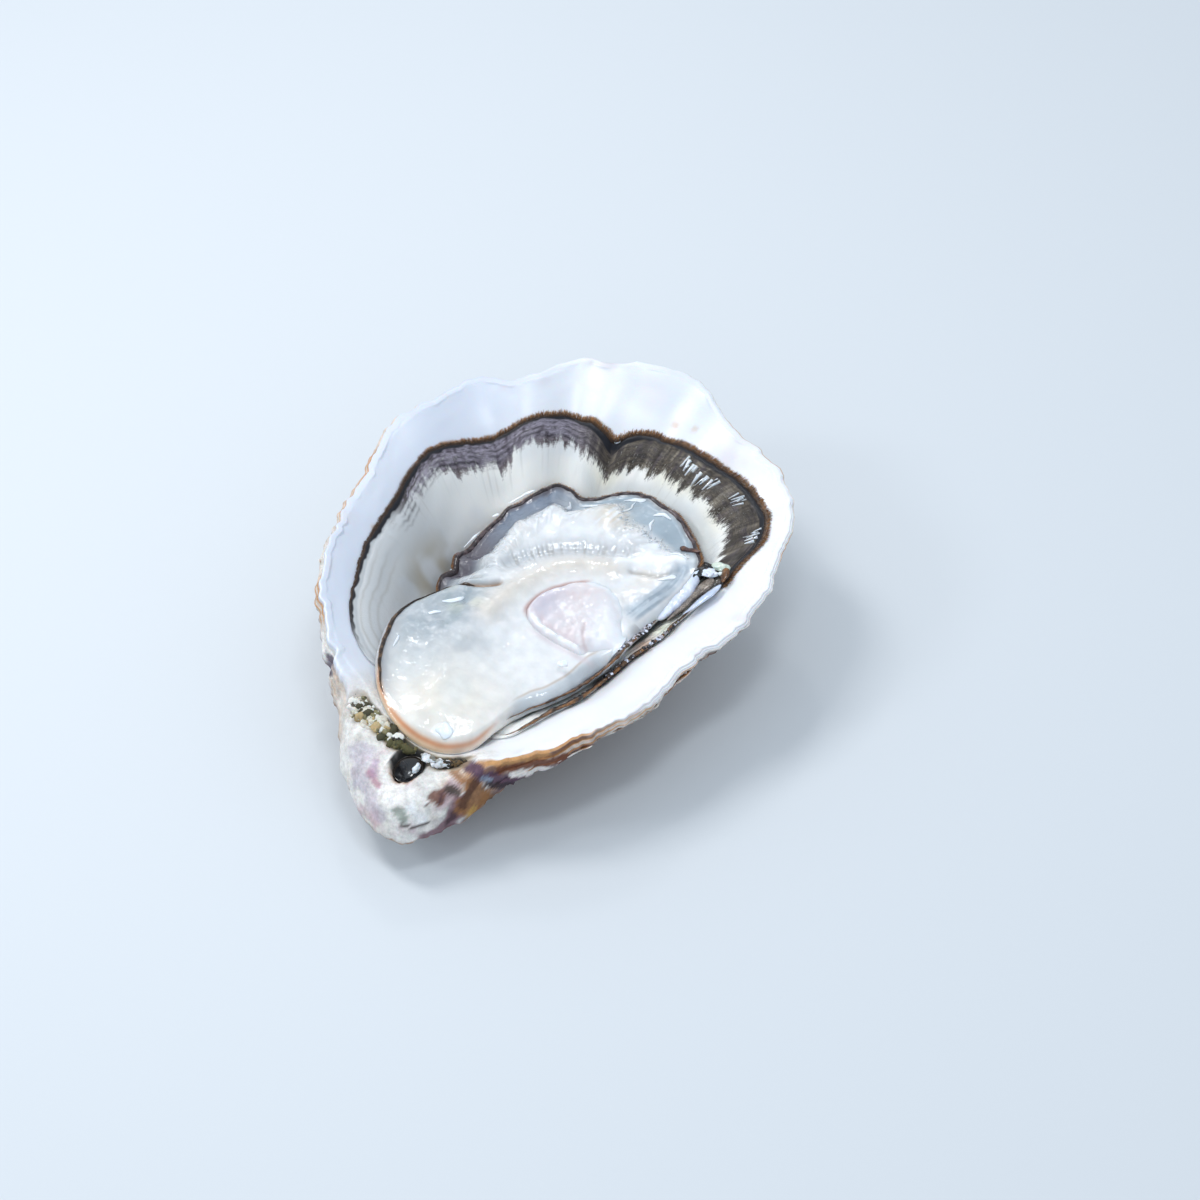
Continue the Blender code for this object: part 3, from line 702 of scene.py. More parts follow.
# The striped band along the edge: how wide it is and how dark, by angle.
BAND_WIDTH = [
    (0, 4), (20, 5.5), (30, 8), (45, 9), (60, 7.5), (75, 6.6), (88, 7.2), (94, 6), (105, 5), (120, 5), (140, 5.5),
    (155, 5), (170, 4), (185, 2.5), (200, 1.4), (220, 1), (260, 1), (330, 2.5),
]
BAND_DARK = [
    (0, 0.05), (14, 0.1), (19, 0.5), (24, 0.95), (45, 1.05), (75, 1.05), (90, 1.05), (98, 1.05), (120, 1.05),
    (150, 0.95), (170, 0.65), (185, 0.35), (200, 0.15), (220, 0.05), (260, 0), (300, 0.1), (330, 0.1),
]
LINE_WIDTH = [
    (0, 0.1), (18, 0.1), (23, 0.9), (30, 1.1), (60, 1.0), (85, 1.0), (91, 1.8), (98, 1.0), (110, 0.6), (130, 0.5),
    (150, 0.7), (170, 1.0), (185, 1.0), (200, 0.8), (215, 0.5), (232, 0.3), (260, 0.1), (320, 0.1), (345, 0.1),
]


def mantle_radius(turn):
    x, y = spot(turn, 44)
    return smooth(MANTLE_EDGE, turn, 360) + 0.22 * waver(x, y, 0, 3.2, 81) + 0.12 * waver(x, y, 0, 1.3, 82)


def mantle_top(x, y):
    """Height of the lower lobe's upper face, with the fold where the two lobes meet."""
    turn, radius = polar(x, y)
    share = radius / smooth(MANTLE_EDGE, turn, 360)
    off = (turn - FOLD_ANGLE_DEG + 180) % 360 - 180
    fold = FOLD_RISE * peak(off, 0, FOLD_HALF_WIDTH_DEG) * np.clip((share - 0.75) / 0.15, 0, 1)
    return cup_height(x, y) + MANTLE_PLAY + MANTLE_THICK + fold


def mantle_relief(turn, inwards):
    """Height of the small folds on the lower lobe: the furrow behind its fringe, and the pleats of the band."""
    ring_x, ring_y = spot(turn, MANTLE_RING)
    band = smooth(BAND_WIDTH, turn, 360)
    in_band = ramp(inwards, 1.2, 2.2) * (1 - ramp(inwards, band * 0.9, band * 1.5))
    edge_fold = 0.12 * peak(inwards, 0.9, 0.5) - 0.12 * peak(inwards, 1.75, 0.4)
    on_right = 1 - ramp(turn, 84, 96)
    pleats = (0.10 + 0.10 * on_right) * waver(ring_x, ring_y, inwards * 0.15, 0.9, 83)
    pleats = pleats + 0.14 * waver(ring_x, ring_y, inwards * 0.2, 1.8, 84)
    folds = 0.35 * waver(ring_x * 0.35, ring_y * 0.35, inwards, 3.2, 85) * ramp(inwards, 3, 8)
    notch = -0.9 * peak(turn, 91.5, 1.6) * (1 - ramp(inwards, 3, 9))
    return edge_fold + pleats * in_band + folds + notch


def mantle_surface(x, y, turn, inwards):
    """Height of the lower lobe with its small folds, thinning towards its edge."""
    thinned = EDGE_THINNING * (1 - ramp(inwards, 0, THINNING_WIDTH))
    return mantle_top(x, y) - RELIEF_ROOM + mantle_relief(turn, inwards) - thinned


def mantle_place(turn, level):
    edge = mantle_radius(turn)
    inwards = edge * (0.42 * np.abs(level) ** 1.3 + 0.58 * np.abs(level) ** 5)
    x, y = spot(turn, edge - inwards)
    low, high = cup_height(x, y) + 0.1, mantle_surface(x, y, turn, inwards)
    lean = np.sqrt(np.clip(1 - (1 - np.clip(inwards / 0.5, 0, 1)) ** 2, 0, 1))
    middle = low + (high - low) * 0.3
    return x, y, np.where(level > 0, middle + (high - middle) * lean, middle + (low - middle) * lean)


lower_mantle, points, turn, level = closed_form("lower_mantle_lobe", 960, 100, mantle_place, upper=0.85)
x, y, z = points.T
radius = np.hypot(x - CUP_MIDDLE[0], y - CUP_MIDDLE[1])
inwards = mantle_radius(turn) - radius
ring_x, ring_y = spot(turn, MANTLE_RING)
band, dark, line = (smooth(pairs, turn, 360) for pairs in (BAND_WIDTH, BAND_DARK, LINE_WIDTH))
streaks = waver(ring_x, ring_y, inwards * 0.12, 0.55, 91)
long_streaks = waver(ring_x, ring_y, inwards * 0.10, 1.3, 92)
blotches = waver(ring_x, ring_y, inwards, 4, 93)
# The inner side of the band is ragged: pointed streaks that thin out into the cream.
right = 1 - ramp(turn, 92, 108)
reach = band + 1.5 * long_streaks + 0.9 * streaks + 1.1 * blotches
in_band = ramp(reach - inwards, -2.6, 1.6) * dark
colours = paint(plain("#F3F1EC", x), [
    ("#D9DCDF", 0.55 * ramp(waver(ring_x * 0.4, ring_y * 0.4, inwards, 3.5, 94), -0.2, 0.8)),
    # Greyer on the left of the lobe: partly its own tone, partly painted shade on the steep left wall.
    ("#B7BABD", 0.85 * ramp(turn, 128, 178) * (1 - ramp(turn, 238, 262))),
    ("#EAE3CC", 0.5 * right * ramp(waver(x, y, 0, 7, 95), -0.4, 0.6)),
])
# Grey-brown lines on the left of the lobe: painted shade of small creases, drawn only in colour.
for depth in (2.6, 4.6, 6.4):
    there = depth + 0.8 * waver(ring_x * 0.5, ring_y * 0.5, 0, 5, 98)
    crease = peak(inwards, there, 0.3) * ramp(turn, 186, 206) * (1 - ramp(turn, 238, 248))
    colours = lay(colours, "#8F887C", 0.3 * crease)
ochre = hump(x, y, (-25.5, 0.5), (3.5, 8)) * ramp(waver(x * 0.7, y * 0.35, 0, 1.4, 99), -0.4, 0.4)
colours = lay(colours, "#8F7C50", 0.65 * ochre)
# The brown patch at the front right, where the lobe's edge turns under the body's.
between = ramp(turn, 318, 325) * (1 - ramp(turn, 336, 344)) * (1 - ramp(inwards, 1.8, 3.4))
colours = lay(colours, "#3E2F28", 0.85 * between)
pocket = hump(x, y, (26.6, -1.5), (2.5, 3.5))
colours = paint(colours, [
    ("#C9A58C", 0.85 * pocket),
    ("#DDE0C8", 0.8 * hump(x, y, (28.3, 4.6), (2.0, 3.0))),
    ("#D3D6D6", 0.7 * right * ramp(inwards, band + 0.5, band + 3)),
])
wisps = ramp(waver(ring_x, ring_y, inwards * 0.08, 0.7, 100), 0.35, 0.8) * dark
colours = lay(colours, "#8F8880", 0.2 * wisps * (1 - ramp(inwards, band + 1, band + 6)))
# The pigment of the band, lilac-brown on the left and darker on the right, with threads along it.
pigment = plain("#78727D", x)
pigment = lay(pigment, "#4C443B", right)
spots = waver(ring_x, ring_y, inwards * 0.8, 0.9, 90)
pigment = paint(pigment, [
    ("#463E48", ramp(spots, 0.0, 0.6) * (0.8 - 0.3 * right)),
    ("#241E19", ramp(streaks, 0.0, 0.45) * 0.6 * right),
    ("#8A8172", ramp(-streaks, 0.2, 0.7) * 0.5 * right),
    ("#5A4C44", 0.6 * (1 - right) * ramp(inwards, band * 0.75, band * 1.1)),
])
for depth, thick, strength in ((2.3, 0.2, 0.8), (3.3, 0.25, 0.7), (4.3, 0.3, 0.9), (5.3, 0.2, 0.5)):
    there = depth + 0.4 * waver(ring_x, ring_y, 0, 6, 96) + 0.2 * waver(ring_x, ring_y, 0, 1.5, 97)
    broken = ramp(waver(ring_x, ring_y, depth, 2.5, 106), -0.5, 0.2)
    across = peak(inwards, there, thick)
    thread = strength * ramp(dark, 0.3, 0.6) * broken * (1 - 0.4 * right) * across
    pigment = lay(pigment, "#221C24", thread)
    colours = lay(colours, "#221C24", 0.7 * thread)
# The edge itself: a dark brown shade, a black line, and brown velvet outside it.
edge_wave = 0.22 * waver(ring_x, ring_y, 0, 1.1, 88) + 0.15 * waver(ring_x, ring_y, 0, 2.6, 89)
colours = lay(colours, "#3A332F", ramp(dark, 0.3, 0.7) * ramp(line + 1.5 + edge_wave - inwards, -0.3, 0.3))
black = ramp(line + 0.4 + edge_wave - inwards, -0.2, 0.15) * ramp(line, 0.25, 0.4)
colours = lay(colours, "#15161E", black)
velvet = (1 - ramp(inwards, 0.2, 0.5 + 0.3 * ramp(turn, 104, 118))) * ramp(line, 0.35, 0.6)
colours = lay(colours, "#3F2A17", velvet)
keep_colours(lower_mantle, colours)
keep_colours(lower_mantle, pigment, "pigment")
keep_share(lower_mantle, "striped", in_band)
keep_share(lower_mantle, "crosswise", 0.25 + 0.55 * right + 0.2 * ramp(inwards, band * 0.6, band))
keep_share(lower_mantle, "line", np.clip(black + velvet, 0, 1))
keep_share(lower_mantle, "milky", 1 - np.clip(in_band + black + velvet, 0, 1))
keep_lay(lower_mantle, ring_x, ring_y, inwards)
# Raw mantle: wet translucent flesh, with pigment in fine stripes that run in from the edge.
mantle_finish, tree, shader = finish_of("wet_striped_mantle",
    {"Roughness": 0.38, "Specular IOR Level": 0.2, "Coat Roughness": 0.06, "Subsurface Radius": (1.0, 0.75, 0.6),
    "Subsurface Scale": 0.6 * MM})
tint, striped, runs, crosswise, milky, pigment, line = (
    node(tree, "ShaderNodeAttribute", attribute_name=name)
    for name in ("tint", "striped", "lay_of_flesh", "crosswise", "milky", "pigment", "line"))
lies = node(tree, "ShaderNodeTexCoord").outputs["Object"]
# Stripes that run in, a quarter of a millimetre apart, and lines along the edge. The real stripes are finer still,
# and are drawn as coarse as they need to show.
stretched = node(tree, "ShaderNodeMapping", {"Vector": runs.outputs["Vector"], "Scale": (4.2, 4.2, 1.3)})
stripes = node(tree, "ShaderNodeTexNoise", {
    "Vector": stretched.outputs["Vector"], "Scale": 1.0, "Detail": 4.0, "Roughness": 0.7})
lengthways = node(tree, "ShaderNodeMapping", {"Vector": runs.outputs["Vector"], "Scale": (0.8, 0.8, 4.0)})
lines_along = node(tree, "ShaderNodeTexNoise", {
    "Vector": lengthways.outputs["Vector"], "Scale": 1.0, "Detail": 4.0, "Roughness": 0.7})
crossed = node(tree, "ShaderNodeMix", {
    "Factor": crosswise.outputs["Fac"], "A": lines_along.outputs["Fac"], "B": stripes.outputs["Fac"]},
        data_type="FLOAT")
deep = node(tree, "ShaderNodeMath", {0: striped.outputs["Fac"], 1: 0.52, 2: -0.80}, operation="MULTIPLY_ADD")
over = node(tree, "ShaderNodeMath", {0: crossed.outputs[0], 1: deep.outputs["Value"]}, operation="ADD")
pigmented = node(tree, "ShaderNodeMapRange", {"Value": over.outputs["Value"], "From Min": -0.04, "From Max": 0.16})
stripe_tone = node(tree, "ShaderNodeMapRange", {
    "Value": lines_along.outputs["Fac"], "From Min": 0.36, "From Max": 0.64, "To Min": 0.5, "To Max": 1.7})
toned = node(tree, "ShaderNodeVectorMath", {0: pigment.outputs["Color"], 3: stripe_tone.outputs["Result"]},
    operation="SCALE")
under_line = node(tree, "ShaderNodeMath", {0: pigmented.outputs["Result"], 1: line.outputs["Fac"]},
    operation="SUBTRACT", use_clamp=True)
flesh_tone = node(tree, "ShaderNodeMix", {
    "Factor": under_line.outputs["Value"], "A": tint.outputs["Color"], "B": toned.outputs["Vector"]},
        data_type="RGBA")
wetness = node(tree, "ShaderNodeMapRange", {"Value": milky.outputs["Fac"], "To Min": 0.2, "To Max": 1.0})
through = node(tree, "ShaderNodeMath", {0: milky.outputs["Fac"], 1: 0.35}, operation="MULTIPLY")
fine = node(tree, "ShaderNodeBump", {"Strength": 0.35, "Distance": 0.3 * MM, "Height": stripes.outputs["Fac"]})
film = node(tree, "ShaderNodeTexNoise", {"Vector": lies, "Scale": 1 / (1.8 * MM), "Detail": 3.0})
film_bump = node(tree, "ShaderNodeBump", {
    "Strength": 0.5, "Distance": 0.5 * MM, "Height": film.outputs["Fac"], "Normal": fine.outputs["Normal"]})
wire(tree, shader, {
    "Base Color": flesh_tone.outputs[2],
    "Coat Weight": wetness.outputs["Result"],
    "Subsurface Weight": through.outputs["Value"],
    "Normal": fine.outputs["Normal"],
    "Coat Normal": film_bump.outputs["Normal"],
})
lower_mantle.data.materials.append(mantle_finish)
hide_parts("lower_mantle")
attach(lower_mantle, "root")

# ---------------------------------------------------------------------------------------------------------------
# The fringe of the lower lobe: brown tentacles of soft flesh, one to two millimetres long, with which the animal
# feels the water. They grow in a row along the lobe's edge and lie outwards on the nacre.

FRINGE_FROM_DEG, FRINGE_TO_DEG = 20, 212
TENTACLE_DOUBLINGS = 12
TENTACLE_LENGTH = 1.7
TENTACLE_SHARE = [
    (0, 0.5), (17, 0.6), (40, 1), (70, 0.9), (88, 0.85), (96, 1), (110, 0.8), (140, 0.65), (160, 0.5), (185, 0.4),
    (212, 0.2),
]
TENTACLE_THICK = 0.09
TENTACLE_COLOURS = ["#A8723A", "#80542A", "#654222", "#BC8648"]
TENTACLE_ROOT = "#3A2412"


def many(name, shape, doublings):
    """One mesh that holds a small shape two to the power of doublings times. shape(mesh) adds it at the origin, a
    few units across. Gives the object, the points of the shapes and the number of the shape each belongs to."""
    apart = 10.0
    grown = bmesh.new()
    shape(grown)
    for k in range(doublings):
        copy = bmesh.ops.duplicate(grown, geom=grown.verts[:] + grown.edges[:] + grown.faces[:])["geom"]
        moved = [item for item in copy if isinstance(item, bmesh.types.BMVert)]
        bmesh.ops.translate(grown, verts=moved, vec=(apart * 2 ** k, 0, 0))
    mesh = bpy.data.meshes.new(name)
    grown.to_mesh(mesh)
    grown.free()
    mesh.shade_smooth()
    made = bpy.data.objects.new(name, mesh)
    bpy.context.scene.collection.objects.link(made)
    points = np.zeros(len(mesh.vertices) * 3, np.float32)
    mesh.vertices.foreach_get("co", points)
    points = points.reshape(-1, 3).astype(float)
    number = np.round(points[:, 0] / apart).astype(int)
    points[:, 0] -= number * apart
    return made, points, number


def any_of(draw, shades, count):
    """A colour for each of many small shapes, drawn from a few."""
    return np.array([linear(shade) for shade in shades])[draw.integers(len(shades), size=count)]


def stand(points, number, root, tip, thick):
    """Places shapes that are 1 tall along Z between roots and tips, thick times their own width."""
    aim = tip - root
    tall = np.linalg.norm(aim, axis=1, keepdims=True)
    aim = aim / tall
    side = np.cross(aim, [0.31, 0.12, 0.94])
    side /= np.linalg.norm(side, axis=1, keepdims=True)
    other = np.cross(aim, side)
    local = points * np.stack([thick[number], thick[number], tall[number, 0]], 1)
    return root[number] + side[number] * local[:, :1] + other[number] * local[:, 1:2] + aim[number] * local[:, 2:]


def tentacle(mesh):
    bmesh.ops.create_cone(
        mesh, cap_ends=True, segments=4, radius1=1, radius2=0.3, depth=1, matrix=Matrix.Translation((0, 0, 0.5)))


draw = np.random.default_rng(5)
fringe, points, number = many("mantle_fringe", tentacle, TENTACLE_DOUBLINGS)
count = 2 ** TENTACLE_DOUBLINGS
place = np.arange(count) + draw.uniform(-0.5, 0.5, count)
at = FRINGE_FROM_DEG + (FRINGE_TO_DEG - FRINGE_FROM_DEG) * place / count
clump_x, clump_y = spot(at, MANTLE_RING)
long = TENTACLE_LENGTH * draw.uniform(0.6, 1.05, count) * share_of(TENTACLE_SHARE, at)
long *= 1 + 0.15 * waver(clump_x, clump_y, 0, 2, 86)
swing = np.radians(at + draw.normal(0, 11, count) + 12 * waver(clump_x, clump_y, 0, 1.5, 85))
root_x, root_y = spot(at, mantle_radius(at) - draw.uniform(0.1, 0.5, count))
tip_x, tip_y = root_x + long * np.cos(swing), root_y + long * np.sin(swing)
root_z = cup_height(root_x, root_y) + draw.uniform(0.35, 0.75, count)
tip_z = cup_height(tip_x, tip_y) + draw.uniform(0.05, 0.4, count)
put(fringe, stand(
    points, number, np.stack([root_x, root_y, root_z], 1), np.stack([tip_x, tip_y, tip_z], 1),
    TENTACLE_THICK * draw.uniform(0.7, 1.3, count)))
shades = any_of(draw, TENTACLE_COLOURS, count)
shades = shades + (linear("#4A3220") - shades) * (0.75 * ramp(at, 146, 172))[:, None]
hair_colours = linear(TENTACLE_ROOT) + (shades[number] - linear(TENTACLE_ROOT)) * ramp(points[:, 2:3], 0.0, 0.8)
keep_colours(fringe, np.array(hair_colours))
# Tentacles: soft wet flesh, brown all through, which shines only a little because it is so fine.
fringe_finish, tree, shader = finish_of("wet_brown_tentacles",
    {"Roughness": 0.4, "Coat Weight": 0.6, "Coat Roughness": 0.12})
tint = node(tree, "ShaderNodeAttribute", attribute_name="tint")
wire(tree, shader, {"Base Color": tint.outputs["Color"]})
fringe.data.materials.append(fringe_finish)
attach(fringe, "root")

# ---------------------------------------------------------------------------------------------------------------
# The crust along the hinge line: crumbs of shell and dried horn, dark olive, brown and white, broken off when the
# valves were parted. They lie pressed together in the seam and round the pit.

CRUST_DOUBLINGS = 9
# Along the seam, as shares of its length: pale crumbs, then dark olive horn, the pit, grey crumbs, dark horn again.
CRUST_COLOURS = [
    (0.36, ["#EFEBE2", "#DCD3C2", "#C4AB7E", "#8A8260", "#4A4630", "#F4F1EA", "#E6DFD2"]),
    (0.62, ["#3C3A26", "#54502E", "#2A2620", "#6B6440"]),
    (0.86, ["#D9DCE0", "#B5B2AE", "#8E8A80", "#F0F0F2", "#6A5A48"]),
    (1.01, ["#3E3426", "#2A241C", "#6A5434"]),
]


def small_ball(mesh):
    bmesh.ops.create_icosphere(mesh, subdivisions=2, radius=1)


crust, points, number = many("hinge_crust", small_ball, CRUST_DOUBLINGS)
count = 2 ** CRUST_DOUBLINGS
seam = along_line(HINGE_SEAM, 200)
share = draw.random(count)
seam_x, seam_y = (np.interp(share, np.linspace(0, 1, len(seam)), seam[:, k]) for k in (0, 1))
broad = 0.6 + 0.9 * ramp(0.45 - share, 0, 0.2)
crumb_x, crumb_y = seam_x + draw.normal(0, 0.9, count) * broad, seam_y + draw.normal(0, 0.9, count) * broad
away = np.hypot((crumb_x - pit[0]) / PIT_HOLE[0], (crumb_y - pit[1]) / PIT_HOLE[1])
crumb_size = 0.25 + 0.75 * draw.random(count) ** 2 + 0.35 * ramp(0.4 - share, 0, 0.1)
crumb_size = crumb_size * np.where(away < 1.1, 0.3, 1) * (0.6 + 0.4 * np.sin(np.pi * share))
crumb_z = cup_height(crumb_x, crumb_y) - 1.0 + draw.uniform(-0.2, 0.25, count)
crumb_z = np.where(away < 1.1, crumb_z - 2.5, crumb_z)
own_place = number[:, None] * 3.3
jag = 1 + 0.4 * waver(*(points * 1.3 + own_place).T, 1, 168) + 0.25 * waver(*(points * 3.1 + own_place).T, 1, 169)
squash = draw.uniform(0.5, 1.5, (count, 3)) * np.array([1, 1, 0.7])
put(crust, points * jag[:, None] * squash[number] * crumb_size[number][:, None]
    + np.stack([crumb_x, crumb_y, crumb_z], 1)[number])
crust_shades = np.zeros((count, 3))
for end, shades in reversed(CRUST_COLOURS):
    picked = any_of(draw, shades, count)
    crust_shades[share < end] = picked[share < end]
keep_colours(crust, crust_shades[number])
keep_share(crust, "nacre", 0)
crust.data.materials.append(shell_finish)
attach(crust, "root")

# ---------------------------------------------------------------------------------------------------------------
# The body: the plump visceral mass, the gills and the upper mantle lobe, one soft wet piece that lies on the lower
# lobe. On the bill side its margin is a thin glassy flap, grey and blue, that stands clear of the lower lobe.

BODY_EDGE = [
    (0, 25.2), (8, 26.5), (15, 29), (21, 32.3), (28, 35.0), (37, 35.7), (46, 36.0), (55, 35.6), (64, 34.2),
    (71, 34.2), (77, 34.6), (82, 33.8), (87, 31.8), (91, 30.4), (97, 29.2), (102, 30.4), (107, 30.7), (112, 29.0),
    (117, 27.6), (123, 26.6), (130, 26.6), (135, 25.3), (148, 23.3), (160, 21.9), (172, 21.9), (181, 20.6),
    (190, 22.6), (202, 26.2), (213, 30), (224, 34.3), (233, 38.2), (240, 42), (247, 45.4), (254, 48), (261, 49.8),
    (270, 50.2), (277, 49), (282, 45.8), (288, 40.6), (297, 34), (310, 29), (324, 25.6), (335, 25.4), (348, 25.2),
]
# Where the wet edge draws in from the space the solid body fills.
BODY_TUCK = [
    (0, 0), (176, 0), (184, 0), (192, 1.0), (200, 3.6), (206, 4.6), (212, 3.6), (217, 2.0), (221, 1.0),
    (227, 0.5), (250, 0.6), (257, 0.8), (264, 1.4), (271, 2.2), (276, 3.6), (281, 5.6), (286, 7.0), (291, 5.4),
    (298, 2.0), (306, 0.6), (314, 0),
]
BODY_PLAY = 0.5
# How far the soft underside settles below the solid one.
BODY_SETTLED = 0.45
# Radius of the circle on which patterns along the edge are drawn.
BODY_RING = 34.0
BODY_EDGE_THICK = 1.8
BODY_TOP_BELOW_RIM = 5.2
BODY_RISE = [(0, 0), (2, 0.5), (4.5, 0.78), (7.5, 0.98), (9, 1.0), (11, 1.0), (60, 1.0)]
FLAP_RISE = [(0, 0), (3, 0.1), (6, 0.3), (9, 0.75), (12, 0.98), (14, 1.0), (16, 1.0), (60, 1.0)]
FLAP_LIFT = 1.5
FLAP_THICK = 1.3
BODY_LOBES = [
    {"at": (-11.518, -21.563), "reach": (12, 16), "rise": 2.4},
    {"at": (-3.518, -39.563), "reach": (14, 11), "rise": 2.8},
]
BODY_STEP_DOWN = 5.5
# The flap's margin, by angle: how much of a flap there is, and the width of its glassy part.
MARGIN = [(0, 0.3), (20, 0.6), (28, 1), (186, 1), (196, 0.6), (205, 0), (350, 0)]
MARGIN_WIDTH = [
    (0, 2), (25, 2.5), (35, 4), (42, 7), (52, 9), (62, 9.2), (72, 7.5), (80, 6), (90, 7), (100, 8.8), (115, 9.4),
    (135, 9), (150, 8), (170, 7), (185, 6), (200, 4), (212, 3), (240, 2), (300, 2),
]
GILL_GROOVE = [(-9.6, 0.5), (-8.2, 4), (-5.3, 7.5), (-1.4, 11), (2.9, 13.6), (8.1, 15.6), (13.5, 17), (18.5, 17.6)]
INNER_RIDGE = [(-7.2, -15), (-6, -8.4), (-4.4, -3), (-2.0, 2), (1.6, 6.8), (6.6, 10.2), (12.4, 11.6), (17.4, 10.8)]
NOTCH_CREASE = [(-19.6, -5.2), (-16.6, -5.0), (-13.4, -4.8), (-10, -3.6), (-6.6, -0.8)]
RIGHT_CREASE = [(15.6, 12.6), (18.7, 13.5), (22.6, 14.3), (26.0, 15.6), (27.8, 17.6)]
RIGHT_RIDGE = [(11.3, 14.0), (17.1, 16.8), (22.1, 18.8), (25.4, 20.2), (28.4, 18.6)]
MUSCLE_AT = (11.2, -2.2)
MUSCLE_EDGE = [
    (0, 11.9), (23, 11.0), (40, 10.8), (60, 10.4), (79, 9.7), (98, 9.2), (116, 8.6), (135, 8.5), (153, 8.9),
    (178, 10.0), (201, 11.2), (217, 10.6), (239, 9.2), (277, 8.8), (300, 10.2), (313, 11.2), (324, 11.9),
    (339, 12.3),
]
MUSCLE_SEAT = 1.3


def muscle_merge(turn):
    """How far the muscle's edge runs smoothly into the flesh round it, by angle about the muscle."""
    return np.clip(1 - ramp(turn, 92, 108) + ramp(turn, 290, 312), 0, 1)


def body_low(x, y):
    """Height of the body's underside: on the lower lobe, and past the lobe's edge on the shell."""
    turn, radius = polar(x, y)
    past = radius - smooth(MANTLE_EDGE, turn, 360)
    on_lobe = np.clip(1 - (past - 0.5) / BODY_STEP_DOWN, 0, 1)
    on_shell = cup_height(x, y) + MANTLE_PLAY
    return on_shell + (mantle_top(x, y) + BODY_PLAY - on_shell) * on_lobe


def body_radius_plain(turn):
    return smooth(BODY_EDGE, turn, 360) - np.clip(smooth(BODY_TUCK, turn, 360), 0, None)


def body_radius(turn):
    x, y = spot(turn, BODY_RING)
    return body_radius_plain(turn) + (
        0.3 * waver(x, y, 0, 3.4, 101) + 0.15 * waver(x, y, 0, 1.4, 102)
    ) * share_of(MARGIN, turn)


def muscle_share(x, y):
    """0 in the middle of the muscle and 1 at its edge."""
    turn, radius = polar(x, y, MUSCLE_AT)
    return radius / smooth(MUSCLE_EDGE, turn, 360)


def flap_zones(turn, inwards):
    """Shares of the flap's glassy part, and of the white foamy ridge behind it."""
    margin, width = share_of(MARGIN, turn), smooth(MARGIN_WIDTH, turn, 360)
    ring_x, ring_y = spot(turn, BODY_RING)
    ragged = width + 0.7 * waver(ring_x, ring_y, 0, 1.6, 107) + 0.8 * waver(ring_x, ring_y, 0, 4, 108)
    glass = margin * (1 - ramp(inwards, ragged - 3.2, ragged + 0.8))
    foam = margin * ramp(inwards, ragged - 0.6, ragged + 0.8) * (1 - ramp(inwards, width + 3.4, width + 6.5))
    return glass, foam


def squiggles(turn, inwards):
    """Little winding ridges that run in from the edge, from 0 to 1."""
    ring_x, ring_y = spot(turn, BODY_RING)
    sway = 1.1 * waver(ring_x, ring_y, inwards, 1.8, 109)
    return ramp(waver(ring_x + sway, ring_y + sway, inwards * 0.35, 1.15, 110), -0.5, 0.8)


def body_top(x, y):
    """Height of the body's upper face, with the flap's margin, the gills and the muscle's seat."""
    turn, radius = polar(x, y)
    edge_radius = body_radius_plain(turn)
    inwards = np.clip(edge_radius - radius, 0, None)
    margin = share_of(MARGIN, turn)
    edge = body_low(*spot(turn, edge_radius)) + BODY_EDGE_THICK + FLAP_LIFT * margin
    crown = rim_plane(x, y) - BODY_TOP_BELOW_RIM
    for lobe in BODY_LOBES:
        crown = crown + lobe["rise"] * hump(x, y, lobe["at"], lobe["reach"])
    plain_rise, flap_rise = smooth(BODY_RISE, inwards), smooth(FLAP_RISE, inwards)
    top = edge + (crown - edge) * (plain_rise + (flap_rise - plain_rise) * margin)
    ring_x, ring_y = spot(turn, BODY_RING)
    glass, foam = flap_zones(turn, inwards)
    top = top - glass * ramp(inwards, 0.6, 2.2) * (0.55 - 0.3 * waver(ring_x, ring_y, inwards * 0.3, 2.8, 103))
    top = top + foam * (0.35 + 0.12 * squiggles(turn, inwards))
    top = top - 0.8 * fold(x, y, GILL_GROOVE, 1.5) + 0.8 * fold(x, y, INNER_RIDGE, 2.4)
    top = top + 0.07 * fold(x, y, GILL_GROOVE, 2.2) * waver(off_line(x, y, GILL_GROOVE)[1] * 70, 0, 0, 1, 113)
    top = top - 1.0 * fold(x, y, NOTCH_CREASE, 0.8) - 0.5 * fold(x, y, RIGHT_CREASE, 0.9)
    top = top + 0.5 * fold(x, y, RIGHT_RIDGE, 1.6)
    top = top - 0.7 * hump(x, y, (27.0, 17.6), (1.6, 1.8))
    flank = hump(x, y, (-13, -12), (9, 13))
    top = top + 0.35 * waver(x, y, 0, 7, 105) + (0.10 + 0.24 * flank) * waver(x, y, 0, 2.4, 106)
    top = top + 0.14 * flank * waver(x, y, 0, 1.1, 114)
    share, merged = muscle_share(x, y), muscle_merge(polar(x, y, MUSCLE_AT)[0])
    return top - MUSCLE_SEAT * (1 - 0.6 * merged) * (1 - ramp(share, 0.9 - 0.15 * merged, 1.0))


def shoulder(margin):
    """How far in from its edge the flesh is rounded over: less where it is a thin flap."""
    return 0.8 + 2.0 * (1 - margin)


